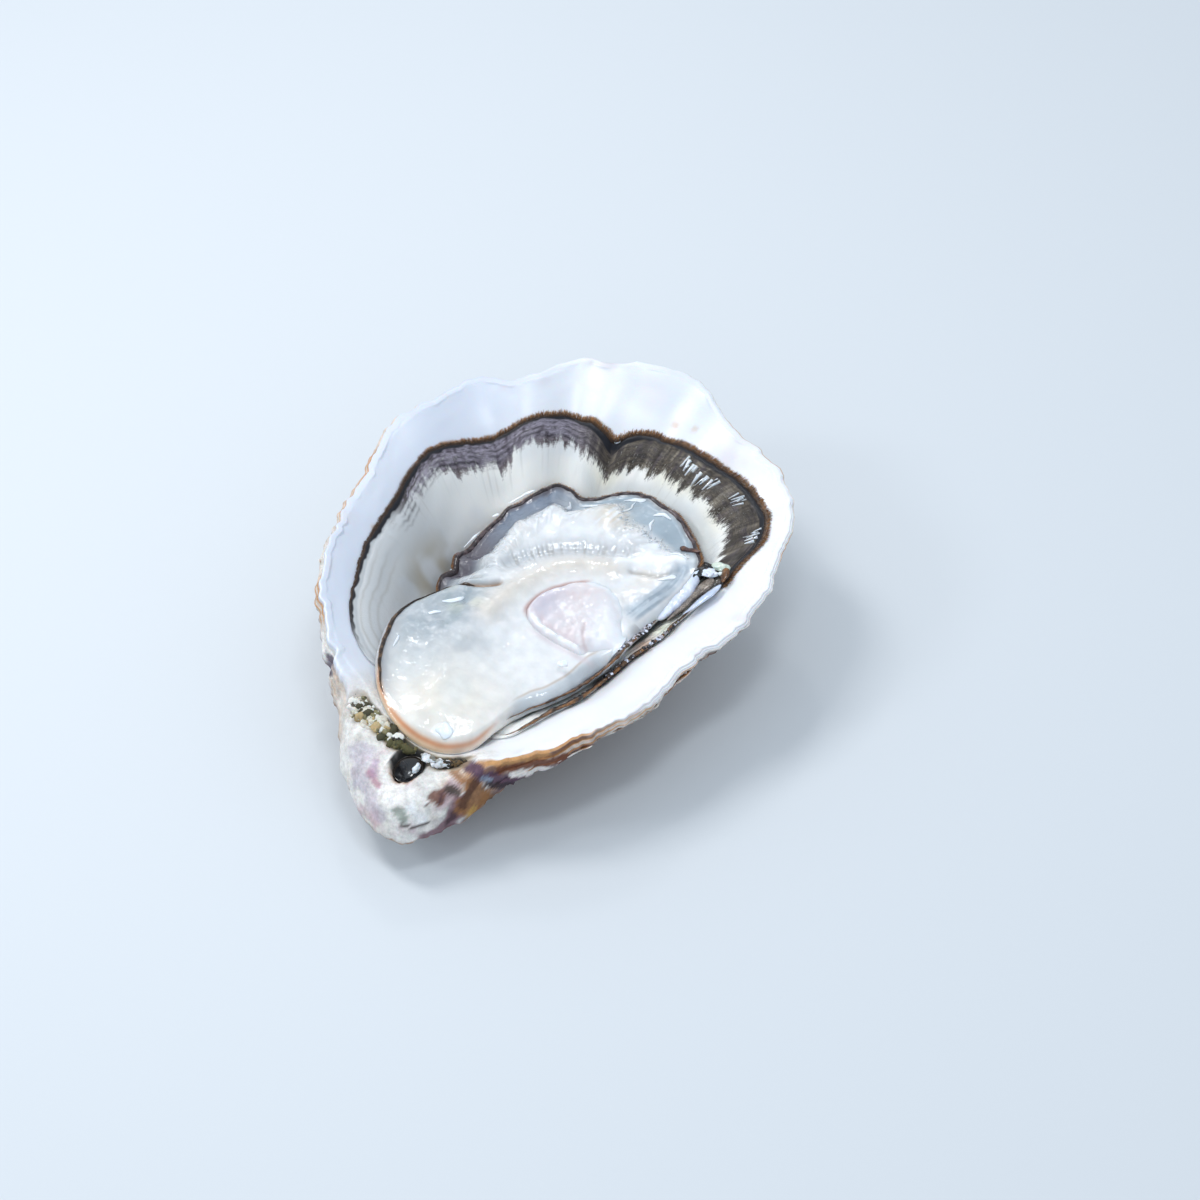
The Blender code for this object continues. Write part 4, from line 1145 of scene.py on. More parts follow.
def body_place(turn, level):
    edge = body_radius(turn)
    inwards = edge * (0.7 * np.abs(level) ** 1.25 + 0.3 * np.abs(level) ** 3)
    x, y = spot(turn, edge - inwards)
    low, high = body_low(x, y) - BODY_SETTLED, body_top(x, y)
    margin = share_of(MARGIN, turn)
    clear = margin * (1 - ramp(inwards, 0.4, 3.0))
    low = low + clear * np.clip(high - FLAP_THICK - low, 0, None)
    lean = np.sqrt(np.clip(1 - (1 - np.clip(inwards / shoulder(margin), 0, 1)) ** 2, 0, 1))
    foot = 0.15 * (1 - share_of([(0, 0), (236, 0), (244, 1), (284, 1), (292, 0)], turn))
    middle = low + (high - low) * (foot + 0.35 * margin)
    return x, y, np.where(level > 0, middle + (high - middle) * lean, middle + (low - middle) * lean)


def body_skin(x, y):
    """Height of the body's visible surface, with its rounded shoulders."""
    turn, radius = polar(x, y)
    margin = share_of(MARGIN, turn)
    low, high = body_low(x, y) - BODY_SETTLED, body_top(x, y)
    inwards = np.clip((body_radius_plain(turn) - radius) / shoulder(margin), 0, 1)
    middle = low + (high - low) * (0.15 + 0.35 * margin)
    return middle + (high - middle) * np.sqrt(1 - (1 - inwards) ** 2)


body, points, turn, level = closed_form("oyster_body", 560, 170, body_place, upper=0.85)
x, y, z = points.T
radius = np.hypot(x - CUP_MIDDLE[0], y - CUP_MIDDLE[1])
inwards = body_radius(turn) - radius
ring_x, ring_y = spot(turn, BODY_RING)
margin = share_of(MARGIN, turn)
glass, foam = flap_zones(turn, inwards)
to_left = ramp(turn, 88, 112)
far_left = ramp(turn, 128, 160)
colours = plain("#E9E9EA", x)
clouds = waves(x, y, 0, 5, 3, 112)
flank = hump(x, y, (-13, -12), (10, 14))
side = (1 - margin) * ramp(turn, 203, 214) * (1 - ramp(turn, 246, 254))
beige = hump(x, y, (6.5, 25.5), (3.2, 3.6))
groove = fold(x, y, GILL_GROOVE, 1.7)
along_gills = off_line(x, y, GILL_GROOVE)[1]
gill_lines = waver(along_gills * 70, 0, 0, 1, 113) + 0.5 * waver(along_gills * 120, x, y, 1, 120)
colours = paint(colours, [
    ("#EBE2D2", 0.75 * hump(x, y, (-6, -36), (16, 13))),
    ("#E6E8E6", 0.5 * ramp(waver(x, y, 0, 6, 111), 0, 0.8)),
    ("#A2ABB2", 0.95 * hump(x, y, (-17, -14), (10, 18))),
    ("#8E9CA4", 0.75 * flank * ramp(clouds, -0.2, 0.7)),
    ("#D5D6B8", 0.6 * hump(x, y, (-14, -8), (8, 5)) * ramp(waver(x, y, 0, 3, 115), -0.2, 0.6)),
    ("#8F9F9F", 0.45 * hump(x, y, (-9, -10), (7, 7)) * ramp(-clouds, 0.3, 0.9)),
    # Grey on the steep left side, near its edge: painted shade where the flesh slopes down to the shell.
    ("#A3A3A8", 0.7 * side * (1 - ramp(inwards, 1.0, 5.5))),
    # The foamy ridge behind the glassy part: white, with painted shade in grey between its squiggles; the glass in
    # three tones.
    ("#E3DBD0", 0.65 * margin * ramp(inwards, 5, 8) * (1 - ramp(inwards, 12, 15)) * ramp(
        waver(x, y, 0, 4, 116), -0.4, 0.5)),
    ("#E9EBEE", 0.9 * foam * squiggles(turn, inwards)),
    ("#C8CACD", 0.55 * foam * (1 - squiggles(turn, inwards))),
    ("#98A9B5", 0.92 * glass * (1 - to_left)),
    ("#66758A", 0.95 * glass * to_left),
    ("#575059", 0.92 * glass * far_left),
    ("#CDC0AA", 0.85 * beige * ramp(waver(ring_x, ring_y, inwards * 0.15, 1.0, 117), -0.5, 0.3)),
    ("#4C4046", 0.85 * margin * to_left * (1 - ramp(inwards, 0.9, 2.6 + 0.6 * waver(ring_x, ring_y, 0, 2, 118)))),
    ("#6E625E", 0.6 * margin * (1 - to_left) * (1 - ramp(inwards, 0.7, 1.8)) * ramp(turn, 12, 24)),
    # Grey along the gill groove is painted shade in the groove; the dashes over it are the gills' own lines.
    ("#BFC2C6", 0.8 * fold(x, y, GILL_GROOVE, 3.2)),
    ("#98938C", 0.6 * groove * ramp(-gill_lines, -0.1, 0.8)),
    ("#DDD5CB", 0.85 * fold(x, y, INNER_RIDGE, 3)),
    ("#9A7148", 0.85 * fold(x, y, NOTCH_CREASE, 0.45)),
    ("#9C9288", 0.6 * fold(x, y, RIGHT_CREASE, 0.6)),
])
# The folds between the muscle and the right edge: blue-grey glass with a pale ridge over it.
opposite = (turn + 180) % 360
blue = ramp(inwards, 1.6, 2.6) * (1 - ramp(inwards, 5.0, 7.5))
blue = blue * np.clip(ramp(opposite, 178, 188) * (1 - ramp(opposite, 205, 211)), 0, 1)
streaky = waver(inwards * 2.0 + 0.5 * waver(x, y, 0, 3, 124), ring_x * 0.2, ring_y * 0.2, 1, 123)
low_right = (1 - margin) * ramp(turn, 284, 291) * (1 - ramp(turn, 326, 338))
colours = paint(colours, [
    ("#B4C0CA", 0.85 * blue),
    ("#8C9CAA", 0.65 * blue * ramp(streaky, -0.1, 0.6)),
    ("#8FA2B2", 0.8 * hump(x, y, (27.0, 17.6), (1.8, 2.0))),
    ("#F8FAFC", 0.9 * fold(x, y, RIGHT_RIDGE, 1.6)),
    # Grey near the lower right edge: partly the thin flesh's own grey, partly painted shade where it slopes down.
    ("#BDC4CA", 0.8 * low_right * (1 - ramp(inwards, 2.4, 4.2))),
    ("#B79F88", 0.6 * low_right * peak(inwards, 3.6, 0.35)),
])
rim_end = ramp(turn, 238, 247) * (1 - ramp(turn, 279, 284)) * (level > 0)
rim_depth = inwards + 0.3 * waver(ring_x, ring_y, 0, 2.5, 122)
rim_end *= 0.75 + 0.25 * waver(ring_x, ring_y, 0, 6, 125)
share = muscle_share(x, y)
around = polar(x, y, MUSCLE_AT)[0]
colours = paint(colours, [
    ("#DDB583", 0.9 * rim_end * (1 - ramp(rim_depth, 0.7, 2.2)) * (1 - 0.5 * ramp(turn, 268, 278))),
    ("#CB7838", 0.85 * rim_end * np.exp(
        -(((rim_depth - 0.95) / (0.45 + 0.2 * waver(ring_x, ring_y, 0, 4, 127))) ** 2))),
    # A white ring at the body's end by the hinge: a painted highlight.
    ("#FBFBFC", 0.7 * ramp(inwards, 1.9, 2.6)
        * ramp(-np.hypot((x + 0.8) / 2.6, (y + 42.4) / 1.8) + 0.15 * waver(x, y, 0, 2, 126), -1.05, -0.85)),
    ("#DACDB4", 0.6 * hump(x, y, (-0.6, -42.6), (1.0, 0.4))),
    ("#B98E86", 0.8 * peak(share, 1.0, 0.05) * ramp(around, 92, 108) * (1 - ramp(around, 196, 214))),
    ("#DCCFD2", 0.7 * peak(share, 1.06, 0.09) * ramp(around, 214, 236) * (1 - ramp(around, 300, 320))),
])
keep_colours(body, colours)
keep_share(body, "ripples", np.clip(0.25 + 1.3 * flank + 0.8 * foam + 0.5 * glass + 0.8 * blue + 0.5 * side
    * (1 - ramp(inwards, 2, 6)), 0, 1.6))
keep_share(body, "milky", 1 - 0.8 * np.clip(glass + low_right * 0.6, 0, 1))
# Raw oyster flesh: cream, wet and a little translucent, so that light goes in and comes out softened.
flesh_finish, tree, shader = finish_of("wet_oyster_flesh",
    {"Roughness": 0.35, "Coat Weight": 1.0, "Coat Roughness": 0.04, "Subsurface Radius": (1.0, 0.75, 0.6),
    "Subsurface Scale": 1.0 * MM})
tint, ripples, milky = (
    node(tree, "ShaderNodeAttribute", attribute_name=name)
    for name in ("tint", "ripples", "milky"))
lies = node(tree, "ShaderNodeTexCoord").outputs["Object"]
mottle = node(tree, "ShaderNodeTexNoise", {"Vector": lies, "Scale": 1 / (2.5 * MM), "Detail": 5.0})
mottle_tone = node(tree, "ShaderNodeMapRange", {
    "Value": mottle.outputs["Fac"], "From Min": 0.35, "From Max": 0.65, "To Min": 0.93, "To Max": 1.03})
toned = node(tree, "ShaderNodeVectorMath", {0: tint.outputs["Color"], 3: mottle_tone.outputs["Result"]},
    operation="SCALE")
through = node(tree, "ShaderNodeMath", {0: milky.outputs["Fac"], 1: 0.55}, operation="MULTIPLY")
film = node(tree, "ShaderNodeTexNoise", {"Vector": lies, "Scale": 1 / (1.6 * MM), "Detail": 2.0, "Distortion": 0.6})
film_bump = node(tree, "ShaderNodeBump", {
    "Strength": ripples.outputs["Fac"], "Distance": 0.55 * MM, "Height": film.outputs["Fac"]})
wire(tree, shader, {
    "Base Color": toned.outputs["Vector"],
    "Subsurface Weight": through.outputs["Value"],
    "Coat Normal": film_bump.outputs["Normal"],
})
body.data.materials.append(flesh_finish)
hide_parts("body")
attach(body, "root")

# ---------------------------------------------------------------------------------------------------------------
# The dark edges of the mantle lobes: beaded rolls of pigmented flesh, where each lobe's free edge curls over. Each
# grows on its lobe. Those named wet are strips of clear liquor that cling beside them.


def roll(name, line, height, widths, flat=0.9, beads=0.2, around=14, length=400, seed=0):
    """A closed, uneven roll of flesh along a plan line, at the heights that height(x, y) gives. widths are pairs of
    a share of the length and a width. Gives the object, its points, their turn about the line and their
    share of its length."""
    dense = along_line(line, 240)
    steps = np.linspace(0, 1, len(dense))
    ahead = np.gradient(dense, axis=0)

    def place(turn, level):
        at = (level + 1) / 2
        x, y = (np.interp(at, steps, dense[:, k]) for k in (0, 1))
        run_x, run_y = (np.interp(at, steps, ahead[:, k]) for k in (0, 1))
        run = np.hypot(run_x, run_y)
        ends = np.sqrt(np.clip(1 - np.abs(2 * at - 1) ** 12, 0, 1))
        bead = 1 + beads * waver(x, y, 0, 1.5, seed) + beads * waver(x, y, np.cos(np.radians(turn)), 0.7, seed + 1)
        wide = smooth(widths, at) * ends * bead
        side = wide / 2 * np.cos(np.radians(turn)) + 0.15 * waver(x, y, 0, 1.7, seed + 2)
        x, y = x + side * run_y / run, y - side * run_x / run
        return x, y, height(x, y) + wide / 2 * flat * np.sin(np.radians(turn))

    made, points, turn, level = closed_form(name, around, length, place)
    return made, points, turn, (level + 1) / 2


def make_wet(made, ripples):
    """Gives a piece of flesh or liquor the finish of flesh, milky all through, with ripples in its wet film."""
    keep_share(made, "ripples", ripples)
    keep_share(made, "milky", 1)
    made.data.materials.append(flesh_finish)


def edge_line(radius, start, end, inset, count=40):
    """Plan points along an edge given by angle, a little in from it."""
    turns = np.linspace(start, end, count)
    return list(zip(*spot(turns, radius(turns) - inset)))


def body_edge_height(x, y):
    margin = share_of(MARGIN, polar(x, y)[0])
    on_side = body_low(x, y) + 1.2
    return on_side + (body_top(x, y) - 0.2 - on_side) * margin


def mantle_edge_height(x, y):
    return cup_height(x, y) + MANTLE_PLAY + 0.55 * MANTLE_THICK


# Pigmented flesh, wet and nearly black in places: its colours lie in blotches under a clear gloss.
dark_edge_finish, tree, shader = finish_of("wet_dark_mantle_edge",
    {"Roughness": 0.4, "Specular IOR Level": 0.2, "Coat Weight": 0.6, "Coat Roughness": 0.05})
tint = node(tree, "ShaderNodeAttribute", attribute_name="tint")
lies = node(tree, "ShaderNodeTexCoord").outputs["Object"]
speckle = node(tree, "ShaderNodeTexNoise", {"Vector": lies, "Scale": 1 / (0.45 * MM), "Detail": 3.0})
speckle_tone = node(tree, "ShaderNodeMapRange", {
    "Value": speckle.outputs["Fac"], "From Min": 0.4, "From Max": 0.65, "To Min": 0.65, "To Max": 1.5})
toned = node(tree, "ShaderNodeVectorMath", {0: tint.outputs["Color"], 3: speckle_tone.outputs["Result"]},
    operation="SCALE")
bump = node(tree, "ShaderNodeBump", {"Strength": 0.5, "Distance": 0.25 * MM, "Height": speckle.outputs["Fac"]})
wire(tree, shader, {
    "Base Color": toned.outputs["Vector"],
    "Normal": bump.outputs["Normal"],
})

FLAP_LINE = edge_line(body_radius_plain, 26, 196, 0.35, 60) + [(-17.2, -5.2), (-14.6, -4.9), (-12.0, -4.4)]
STRIP_LINE = [(34.3, 17.2), (33.0, 15.2), (31.4, 13.2), (30.2, 11.2), (29.4, 9.0), (28.3, 6.8)]
WET_LINE = [(37.0, 15.4), (35.2, 12.6), (33.4, 9.8), (31.6, 7.4)]
EDGE_ROLLS = [
    # name, line, height, widths, flatness, beads, colours: the dark, the lighter blotches, and the outer side
    ("upper_mantle_edge", FLAP_LINE, body_edge_height,
     [(0, 0.7), (0.06, 1.0), (0.3, 1.1), (0.55, 1.2), (0.75, 1.5), (0.87, 1.9), (0.92, 1.3), (0.97, 0.6), (1, 0.2)],
     0.9, 0.14, ("#2B2024", "#5A4A4C", "#8A5C2E")),
    ("body_left_edge", [(-12.0, -4.6), (-14.8, -4.9), (-17.2, -5.4)]
        + edge_line(body_radius_plain, 205, 250, np.linspace(2.2, 0.9, 24), 24),
     lambda x, y: body_skin(x, y) + 0.15,
     [(0, 0.4), (0.1, 0.9), (0.3, 1.1), (0.6, 1.0), (0.8, 0.8), (1, 0.15)], 0.9, 0.12,
         ("#33251C", "#6E5238", "#8A6038")),
    ("body_right_edge", edge_line(body_radius_plain, 285, 369, 0.1, 50), body_edge_height,
     [(0, 0.15), (0.15, 0.6), (0.4, 1.2), (0.6, 1.4), (0.85, 1.3), (1, 0.6)], 0.8, 0.4,
         ("#2A2120", "#6A5A50", "#8A5E38")),
    ("lower_mantle_right_edge", edge_line(lambda turn: smooth(MANTLE_EDGE, turn, 360), 284, 373, 0.3, 50),
     mantle_edge_height, [(0, 0.15), (0.15, 0.9), (0.5, 1.7), (0.75, 1.7), (1, 0.7)], 0.8, 0.35,
     ("#241C1A", "#6A5240", "#94663A")),
    ("wet_right_edge", edge_line(body_radius_plain, 9, 27, -0.3, 20), lambda x, y: body_edge_height(x, y) - 0.2,
     [(0, 1.6), (0.2, 3.0), (0.6, 3.3), (1, 1.6)], 0.8, 0.12, ("#DCE3F2", "#E8EDF8", "#CBD3E6")),
    ("hook_curl", [(28.6, 23.4), (26.6, 23.8), (24.6, 24.3), (23.2, 24.7)], lambda x, y: body_top(x, y) + 0.3,
     [(0, 0.9), (0.6, 1.2), (0.88, 1.5), (1, 0.9)], 0.8, 0.1, ("#4A3230", "#6E4A38", "#9A6432")),
    ("fringe_end", [(35.6, 20.0), (36.7, 18.0), (37.0, 15.8)], lambda x, y: mantle_top(x, y) + 0.2,
     [(0, 1.0), (0.5, 1.9), (1, 0.8)], 0.6, 0.2, ("#5A3818", "#82521F", "#1E1410")),
    ("mantle_strip", STRIP_LINE, lambda x, y: mantle_top(x, y) + 0.25,
     [(0, 3.2), (0.15, 4.2), (0.5, 4.0), (0.8, 3.0), (1, 0.9)], 0.5, 0.05, ("#7C7066", "#948879", "#2E2622")),
    ("wet_film_strip", WET_LINE, lambda x, y: mantle_top(x, y) - 0.1,
     [(0, 1.0), (0.3, 2.4), (0.7, 2.0), (1, 0.5)], 0.5, 0.05, ("#C2CFE6", "#D9E0F0", "#9C99AC")),
]
for number, (name, line, height, widths, flat, beads, shades) in enumerate(EDGE_ROLLS):
    made, points, turn, at = roll(name, line, height, widths, flat, beads, seed=120 + 5 * number, length=500)
    x, y, z = points.T
    colours = plain(shades[0], x)
    colours = lay(colours, shades[1], ramp(waver(x, y, z, 1.0, 130), 0.0, 0.7))
    outer = ramp(np.cos(np.radians(turn)), 0.35, 0.9)
    if name == "mantle_strip":
        outer = ramp(np.abs(np.cos(np.radians(turn))), 0.75, 0.95)
        rungs = waver(at * 40, 0, 0, 1, 133)
        colours = lay(colours, "#4E443E", 0.7 * ramp(rungs, 0.2, 0.7))
    colours = lay(colours, shades[2], 0.85 * outer * ramp(waver(x, y, z, 1.8, 131), -0.8, 0.2))
    keep_colours(made, colours)
    if name.startswith("wet"):
        make_wet(made, 0.6)
    else:
        made.data.materials.append(dark_edge_finish)
    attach(made, "root")

# ---------------------------------------------------------------------------------------------------------------
# Where the two lobes meet: a black knot of their edges, with drops of white milky liquor and one greenish bead.
# They cling there by their own wetness, as do a pale crumb at the pit and a drop in front of the muscle.

KNOT = [
    # name, middle, half sizes, lumps, colour
    ("knot_black", (30.7, 18.6, 25.9), (1.3, 2.4, 1.2), 0.3, "#121218"),
    ("knot_lower", (31.4, 20.4, 25.6), (1.6, 1.2, 1.2), 0.3, "#1A1719"),
    ("milky_drop", (33.2, 18.0, 26.9), (1.7, 1.2, 0.7), 0.45, "#E4E9F6"),
    ("greenish_bead", (34.9, 20.3, 27.5), (1.9, 1.0, 0.8), 0.25, "#D3DED0"),
    ("small_bead", (35.6, 18.3, 27.6), (0.6, 0.5, 0.4), 0.05, "#E2EDEA"),
    ("pit_crumb", (-2.4, -51.9, 18.3), (0.6, 1.3, 0.6), 0.35, "#DDE4EC"),
    ("white_blob", (14.4, -16.6, 23.6), (1.2, 1.0, 0.5), 0.2, "#F2F5FA"),
]


def lump(name, middle, sizes, lumps, seed):
    """A closed, lumpy, rounded form."""

    def place(turn, level):
        up = level * np.pi / 2
        flat = np.cos(up)
        way = np.stack([flat * np.cos(np.radians(turn)), flat * np.sin(np.radians(turn)), np.sin(up) + 0 * turn], 1)
        swell = 1 + lumps * waver(*(way * 3).T, 1.6, seed) + 0.5 * lumps * waver(*(way * 3).T, 0.8, seed + 1)
        return tuple((np.array(middle) + way * np.array(sizes) * swell[:, None]).T)

    return closed_form(name, 32, 24, place)


for number, (name, middle, sizes, lumps, shade) in enumerate(KNOT):
    made, points, turn, level = lump(name, middle, sizes, lumps, 150 + 2 * number)
    colours = plain(shade, turn)
    keep_colours(made, colours)
    if name.startswith("knot"):
        made.data.materials.append(dark_edge_finish)
    else:
        make_wet(made, 0.3)
    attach(made, "root")

# ---------------------------------------------------------------------------------------------------------------
# Beads on the frilled right-hand edges: swollen tips of the tentacles, soft and wet, some milky, some brown. They
# grow along the edges of the body and of the lower lobe, in no order.

BEAD_DOUBLINGS = 8
BEAD_COLOURS = ["#DCE2F2", "#C4CBDE", "#1C1819", "#4A3A30", "#A7A2A8", "#241E22"]


draw = np.random.default_rng(8)
beads, points, number = many("edge_beads", small_ball, BEAD_DOUBLINGS)
count = 2 ** BEAD_DOUBLINGS
on_body = draw.random(count) < 0.5
share = draw.random(count) ** 0.8
bead_turn = np.where(on_body, 338 + 28 * share, 326 + 42 * share)
bead_radius = np.where(on_body, body_radius_plain(bead_turn), smooth(MANTLE_EDGE, bead_turn, 360))
bead_radius = bead_radius + draw.normal(0, 0.5, count)
bead_x, bead_y = spot(bead_turn, bead_radius)
bead_z = np.where(on_body, body_edge_height(bead_x, bead_y) + 0.35, mantle_edge_height(bead_x, bead_y) + 0.3)
bead_z += draw.uniform(-0.25, 0.2, count)
bead_size = 0.12 + 0.38 * draw.random(count) ** 2
put(beads, points * bead_size[number][:, None] * np.array([1.2, 1.0, 0.8])
    + np.stack([bead_x, bead_y, bead_z], 1)[number])
keep_colours(beads, any_of(draw, BEAD_COLOURS, count)[number])
beads.data.materials.append(dark_edge_finish)
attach(beads, "root")

# ---------------------------------------------------------------------------------------------------------------
# The orange-brown down on the outer side of the flap's edge: tentacles like those of the lower lobe, of the same
# flesh, but finer, shorter and more matted.

FLAP_HAIR_DOUBLINGS = 11
FLAP_HAIR_FROM_DEG, FLAP_HAIR_SPREAD_DEG = 20, 165
FLAP_HAIR_LENGTH, FLAP_HAIR_THICK = 0.75, 0.07
FLAP_HAIR_COLOURS = ["#8E5E2C", "#6C4522", "#A9733A"]
hairs, points, number = many("flap_fringe", tentacle, FLAP_HAIR_DOUBLINGS)
count = 2 ** FLAP_HAIR_DOUBLINGS
hair_turn = FLAP_HAIR_FROM_DEG + FLAP_HAIR_SPREAD_DEG * (np.arange(count) + draw.uniform(-0.5, 0.5, count)) / count
hair_long = FLAP_HAIR_LENGTH * draw.uniform(0.5, 1.1, count) * (1 - 0.55 * ramp(hair_turn, 122, 145))
swing = np.radians(hair_turn + draw.normal(0, 20, count))
root_x, root_y = spot(hair_turn, body_radius_plain(hair_turn) + 0.05)
tip_x, tip_y = root_x + hair_long * np.cos(swing), root_y + hair_long * np.sin(swing)
root_z = body_edge_height(*spot(hair_turn, body_radius_plain(hair_turn) - 0.35)) + 0.12
root = np.stack([root_x, root_y, root_z + draw.uniform(-0.3, 0.2, count)], 1)
tip = np.stack([tip_x, tip_y, root_z + draw.uniform(-0.5, 0.1, count)], 1)
put(hairs, stand(points, number, root, tip, FLAP_HAIR_THICK * draw.uniform(0.7, 1.3, count)))
keep_colours(hairs, any_of(draw, FLAP_HAIR_COLOURS, count)[number])
hairs.data.materials.append(fringe_finish)
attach(hairs, "root")

# ---------------------------------------------------------------------------------------------------------------
# The milky liquor that clings where flesh meets flesh, as flat, bright films: drawn out along the flap's edge, in
# its glassy part, and over the folds. Their near-white colour is a painted highlight: each is laid where the wet
# flesh shows a glint.

HIGHLIGHT_FILMS = [
    # plan line, widest, height above the flesh
    ([(-13.2, 27.6), (-15.6, 25.9), (-17.9, 23.6)], 0.75, 0.45),
    ([(-19.0, 20.9), (-19.8, 19.5)], 0.8, 0.4),
    ([(-20.4, 14.9), (-21.6, 11.9), (-22.0, 9.6)], 0.6, 0.5),
    ([(-21.6, 2.6), (-20.6, 0.9)], 0.8, 0.3),
    ([(5.6, 33.4), (8.2, 33.8), (11.2, 33.0)], 0.9, 0.12),
    ([(8.6, 33.0), (8.8, 30.4), (8.2, 27.6)], 0.6, 0.1),
    ([(-5.2, 28.8), (-4.4, 26.6), (-4.6, 24.8)], 0.6, 0.1),
    ([(-3.2, 29.0), (0.2, 30.4), (3.4, 31.6)], 0.7, 0.12),
    ([(14.6, 29.6), (16.2, 30.6), (18.6, 30.2)], 0.8, 0.12),
    ([(15.2, 28.6), (15.0, 26.6), (15.8, 25.2)], 0.7, 0.1),
    ([(-2.6, -42.7), (-0.8, -42.1), (1.0, -41.5)], 2.6, 0.02),
    ([(22.0, 19.8), (25.0, 20.4), (27.2, 19.6)], 1.0, 0.1),
    ([(-16.4, -12.0), (-14.0, -10.6), (-12.6, -8.8)], 1.0, 0.05),
    ([(-17.6, -16.2), (-15.0, -15.0)], 0.8, 0.05),
    ([(-20.4, -24.4), (-20.2, -27.8)], 0.6, 0.05),
    ([(23.2, 13.0), (24.8, 13.9), (26.6, 15.2)], 1.0, 0.08),
]
HIGHLIGHT_FILM_DOUBLINGS = 4


def film_ball(mesh):
    bmesh.ops.create_icosphere(mesh, subdivisions=4, radius=1)


highlight_films, points, number = many("painted_highlight_films", film_ball, HIGHLIGHT_FILM_DOUBLINGS)
placed = np.zeros(points.shape)
for k, (line, widest, above) in enumerate(HIGHLIGHT_FILMS):
    own = number == k
    ball = points[own]
    dense = along_line(line, 60)
    steps = np.linspace(-1, 1, len(dense))
    ahead = np.gradient(dense, axis=0)
    ahead /= np.linalg.norm(ahead, axis=1, keepdims=True)
    mid_x, mid_y, run_x, run_y = (np.interp(ball[:, 0], steps, part) for part in (*dense.T, *ahead.T))
    ragged = widest / 2 * (1 + 0.5 * waver(mid_x, mid_y, 0, 1.2, 180 + k))
    side = ball[:, 1] * ragged + 0.25 * waver(mid_x, mid_y, 0, 1.5, 181 + k)
    film_x, film_y = mid_x + side * run_y, mid_y - side * run_x
    film_z = body_top(film_x, film_y) + above + 0.22 * ball[:, 2]
    placed[own] = np.stack([film_x, film_y, film_z], 1)
put(highlight_films, placed)
keep_colours(highlight_films, plain("#F4F7FC", points))
make_wet(highlight_films, 0.4)
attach(highlight_films, "root")

# ---------------------------------------------------------------------------------------------------------------
# Bright streaks that run in across the dark band on the right: near-white threads laid on the band's folds, a
# painted highlight standing for the glints of wet liquor there.

STREAK_DOUBLINGS = 5
# Where the streaks bunch together: angle, and how far in from the edge.
STREAK_BUNCHES = np.array([(68, 2.6), (65, 3.2), (61, 3.4), (56, 2.8), (49, 2.4), (35, 1.6)])
draw = np.random.default_rng(21)
streaks, points, number = many("wet_streaks", tentacle, STREAK_DOUBLINGS)
count = 2 ** STREAK_DOUBLINGS
bunch = STREAK_BUNCHES[draw.integers(len(STREAK_BUNCHES), size=count)]
streak_turn = bunch[:, 0] + draw.normal(0, 1.3, count)
start = bunch[:, 1] + draw.normal(0, 0.6, count)
long = 0.8 + 2.4 * draw.random(count)
swing = np.radians(streak_turn + draw.normal(0, 9, count))
root_x, root_y = spot(streak_turn, mantle_radius(streak_turn) - start)
end_x, end_y = root_x - long * np.cos(swing), root_y - long * np.sin(swing)


def band_height(x, y):
    turn, radius = polar(x, y)
    return mantle_surface(x, y, turn, mantle_radius(turn) - radius)


put(streaks, stand(
    points, number, np.stack([root_x, root_y, band_height(root_x, root_y) + 0.12], 1),
    np.stack([end_x, end_y, band_height(end_x, end_y) + 0.12], 1), 0.5 * draw.uniform(0.35, 1.1, count)))
keep_colours(streaks, plain("#F6F8FB", points))
make_wet(streaks, 0.2)
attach(streaks, "root")

# ---------------------------------------------------------------------------------------------------------------
# The tips of the gills, which show as fine white threads where the glassy part of the flap ends. They are soft
# filaments that grow under the flap and lie combed inwards. Their pure white is also a painted highlight, standing
# for the wet glints along that edge.

TIP_DOUBLINGS = 9
draw = np.random.default_rng(14)
tips_and_glints, points, number = many("gill_tips_painted_glints", tentacle, TIP_DOUBLINGS)
count = 2 ** TIP_DOUBLINGS
tip_turn = 32 + 138 * draw.random(count)
thread_x, thread_y = spot(tip_turn, BODY_RING)
clumped = waver(thread_x, thread_y, 0, 3.0, 190)
inset = smooth(MARGIN_WIDTH, tip_turn, 360) + draw.normal(-0.2, 0.7, count)
inset = inset + 0.8 * waver(thread_x, thread_y, 0, 4, 108)
long = 1.5 * draw.uniform(0.25, 1, count) * (0.35 + 0.65 * ramp(clumped, -0.4, 0.4))
from_radius = body_radius_plain(tip_turn) - inset
root_x, root_y = spot(tip_turn, from_radius)
swing = np.radians(tip_turn + draw.normal(0, 32, count))
end_x, end_y = root_x - long * np.cos(swing), root_y - long * np.sin(swing)
put(tips_and_glints, stand(
    points, number, np.stack([root_x, root_y, body_top(root_x, root_y) + 0.02], 1),
    np.stack([end_x, end_y, body_top(end_x, end_y) + 0.05], 1), 0.13 * draw.uniform(0.6, 1.3, count)))
keep_colours(tips_and_glints, plain("#FBFCFE", points))
make_wet(tips_and_glints, 0.2)
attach(tips_and_glints, "root")

# ---------------------------------------------------------------------------------------------------------------
# The adductor muscle: the column that held the valves shut, cut across when the oyster was opened. Its cut end is
# a smooth, pinkish, translucent disc, torn and fibrous along its lower left edge.

MUSCLE_ABOVE_SEAT = 0.15
# A crease in the cut end, and where it is puckered: place and reach.
MUSCLE_CREASE = [(13.6, -3.4), (14.2, -6.0), (15.4, -8.2), (17.2, -9.4)]
MUSCLE_PUCKER = ((14.5, -5.0), (5, 5))


def torn_side(turn):
    """How far the cut end's edge is torn, by angle about the muscle."""
    return ramp(turn, 200, 216) * (1 - ramp(turn, 292, 306))


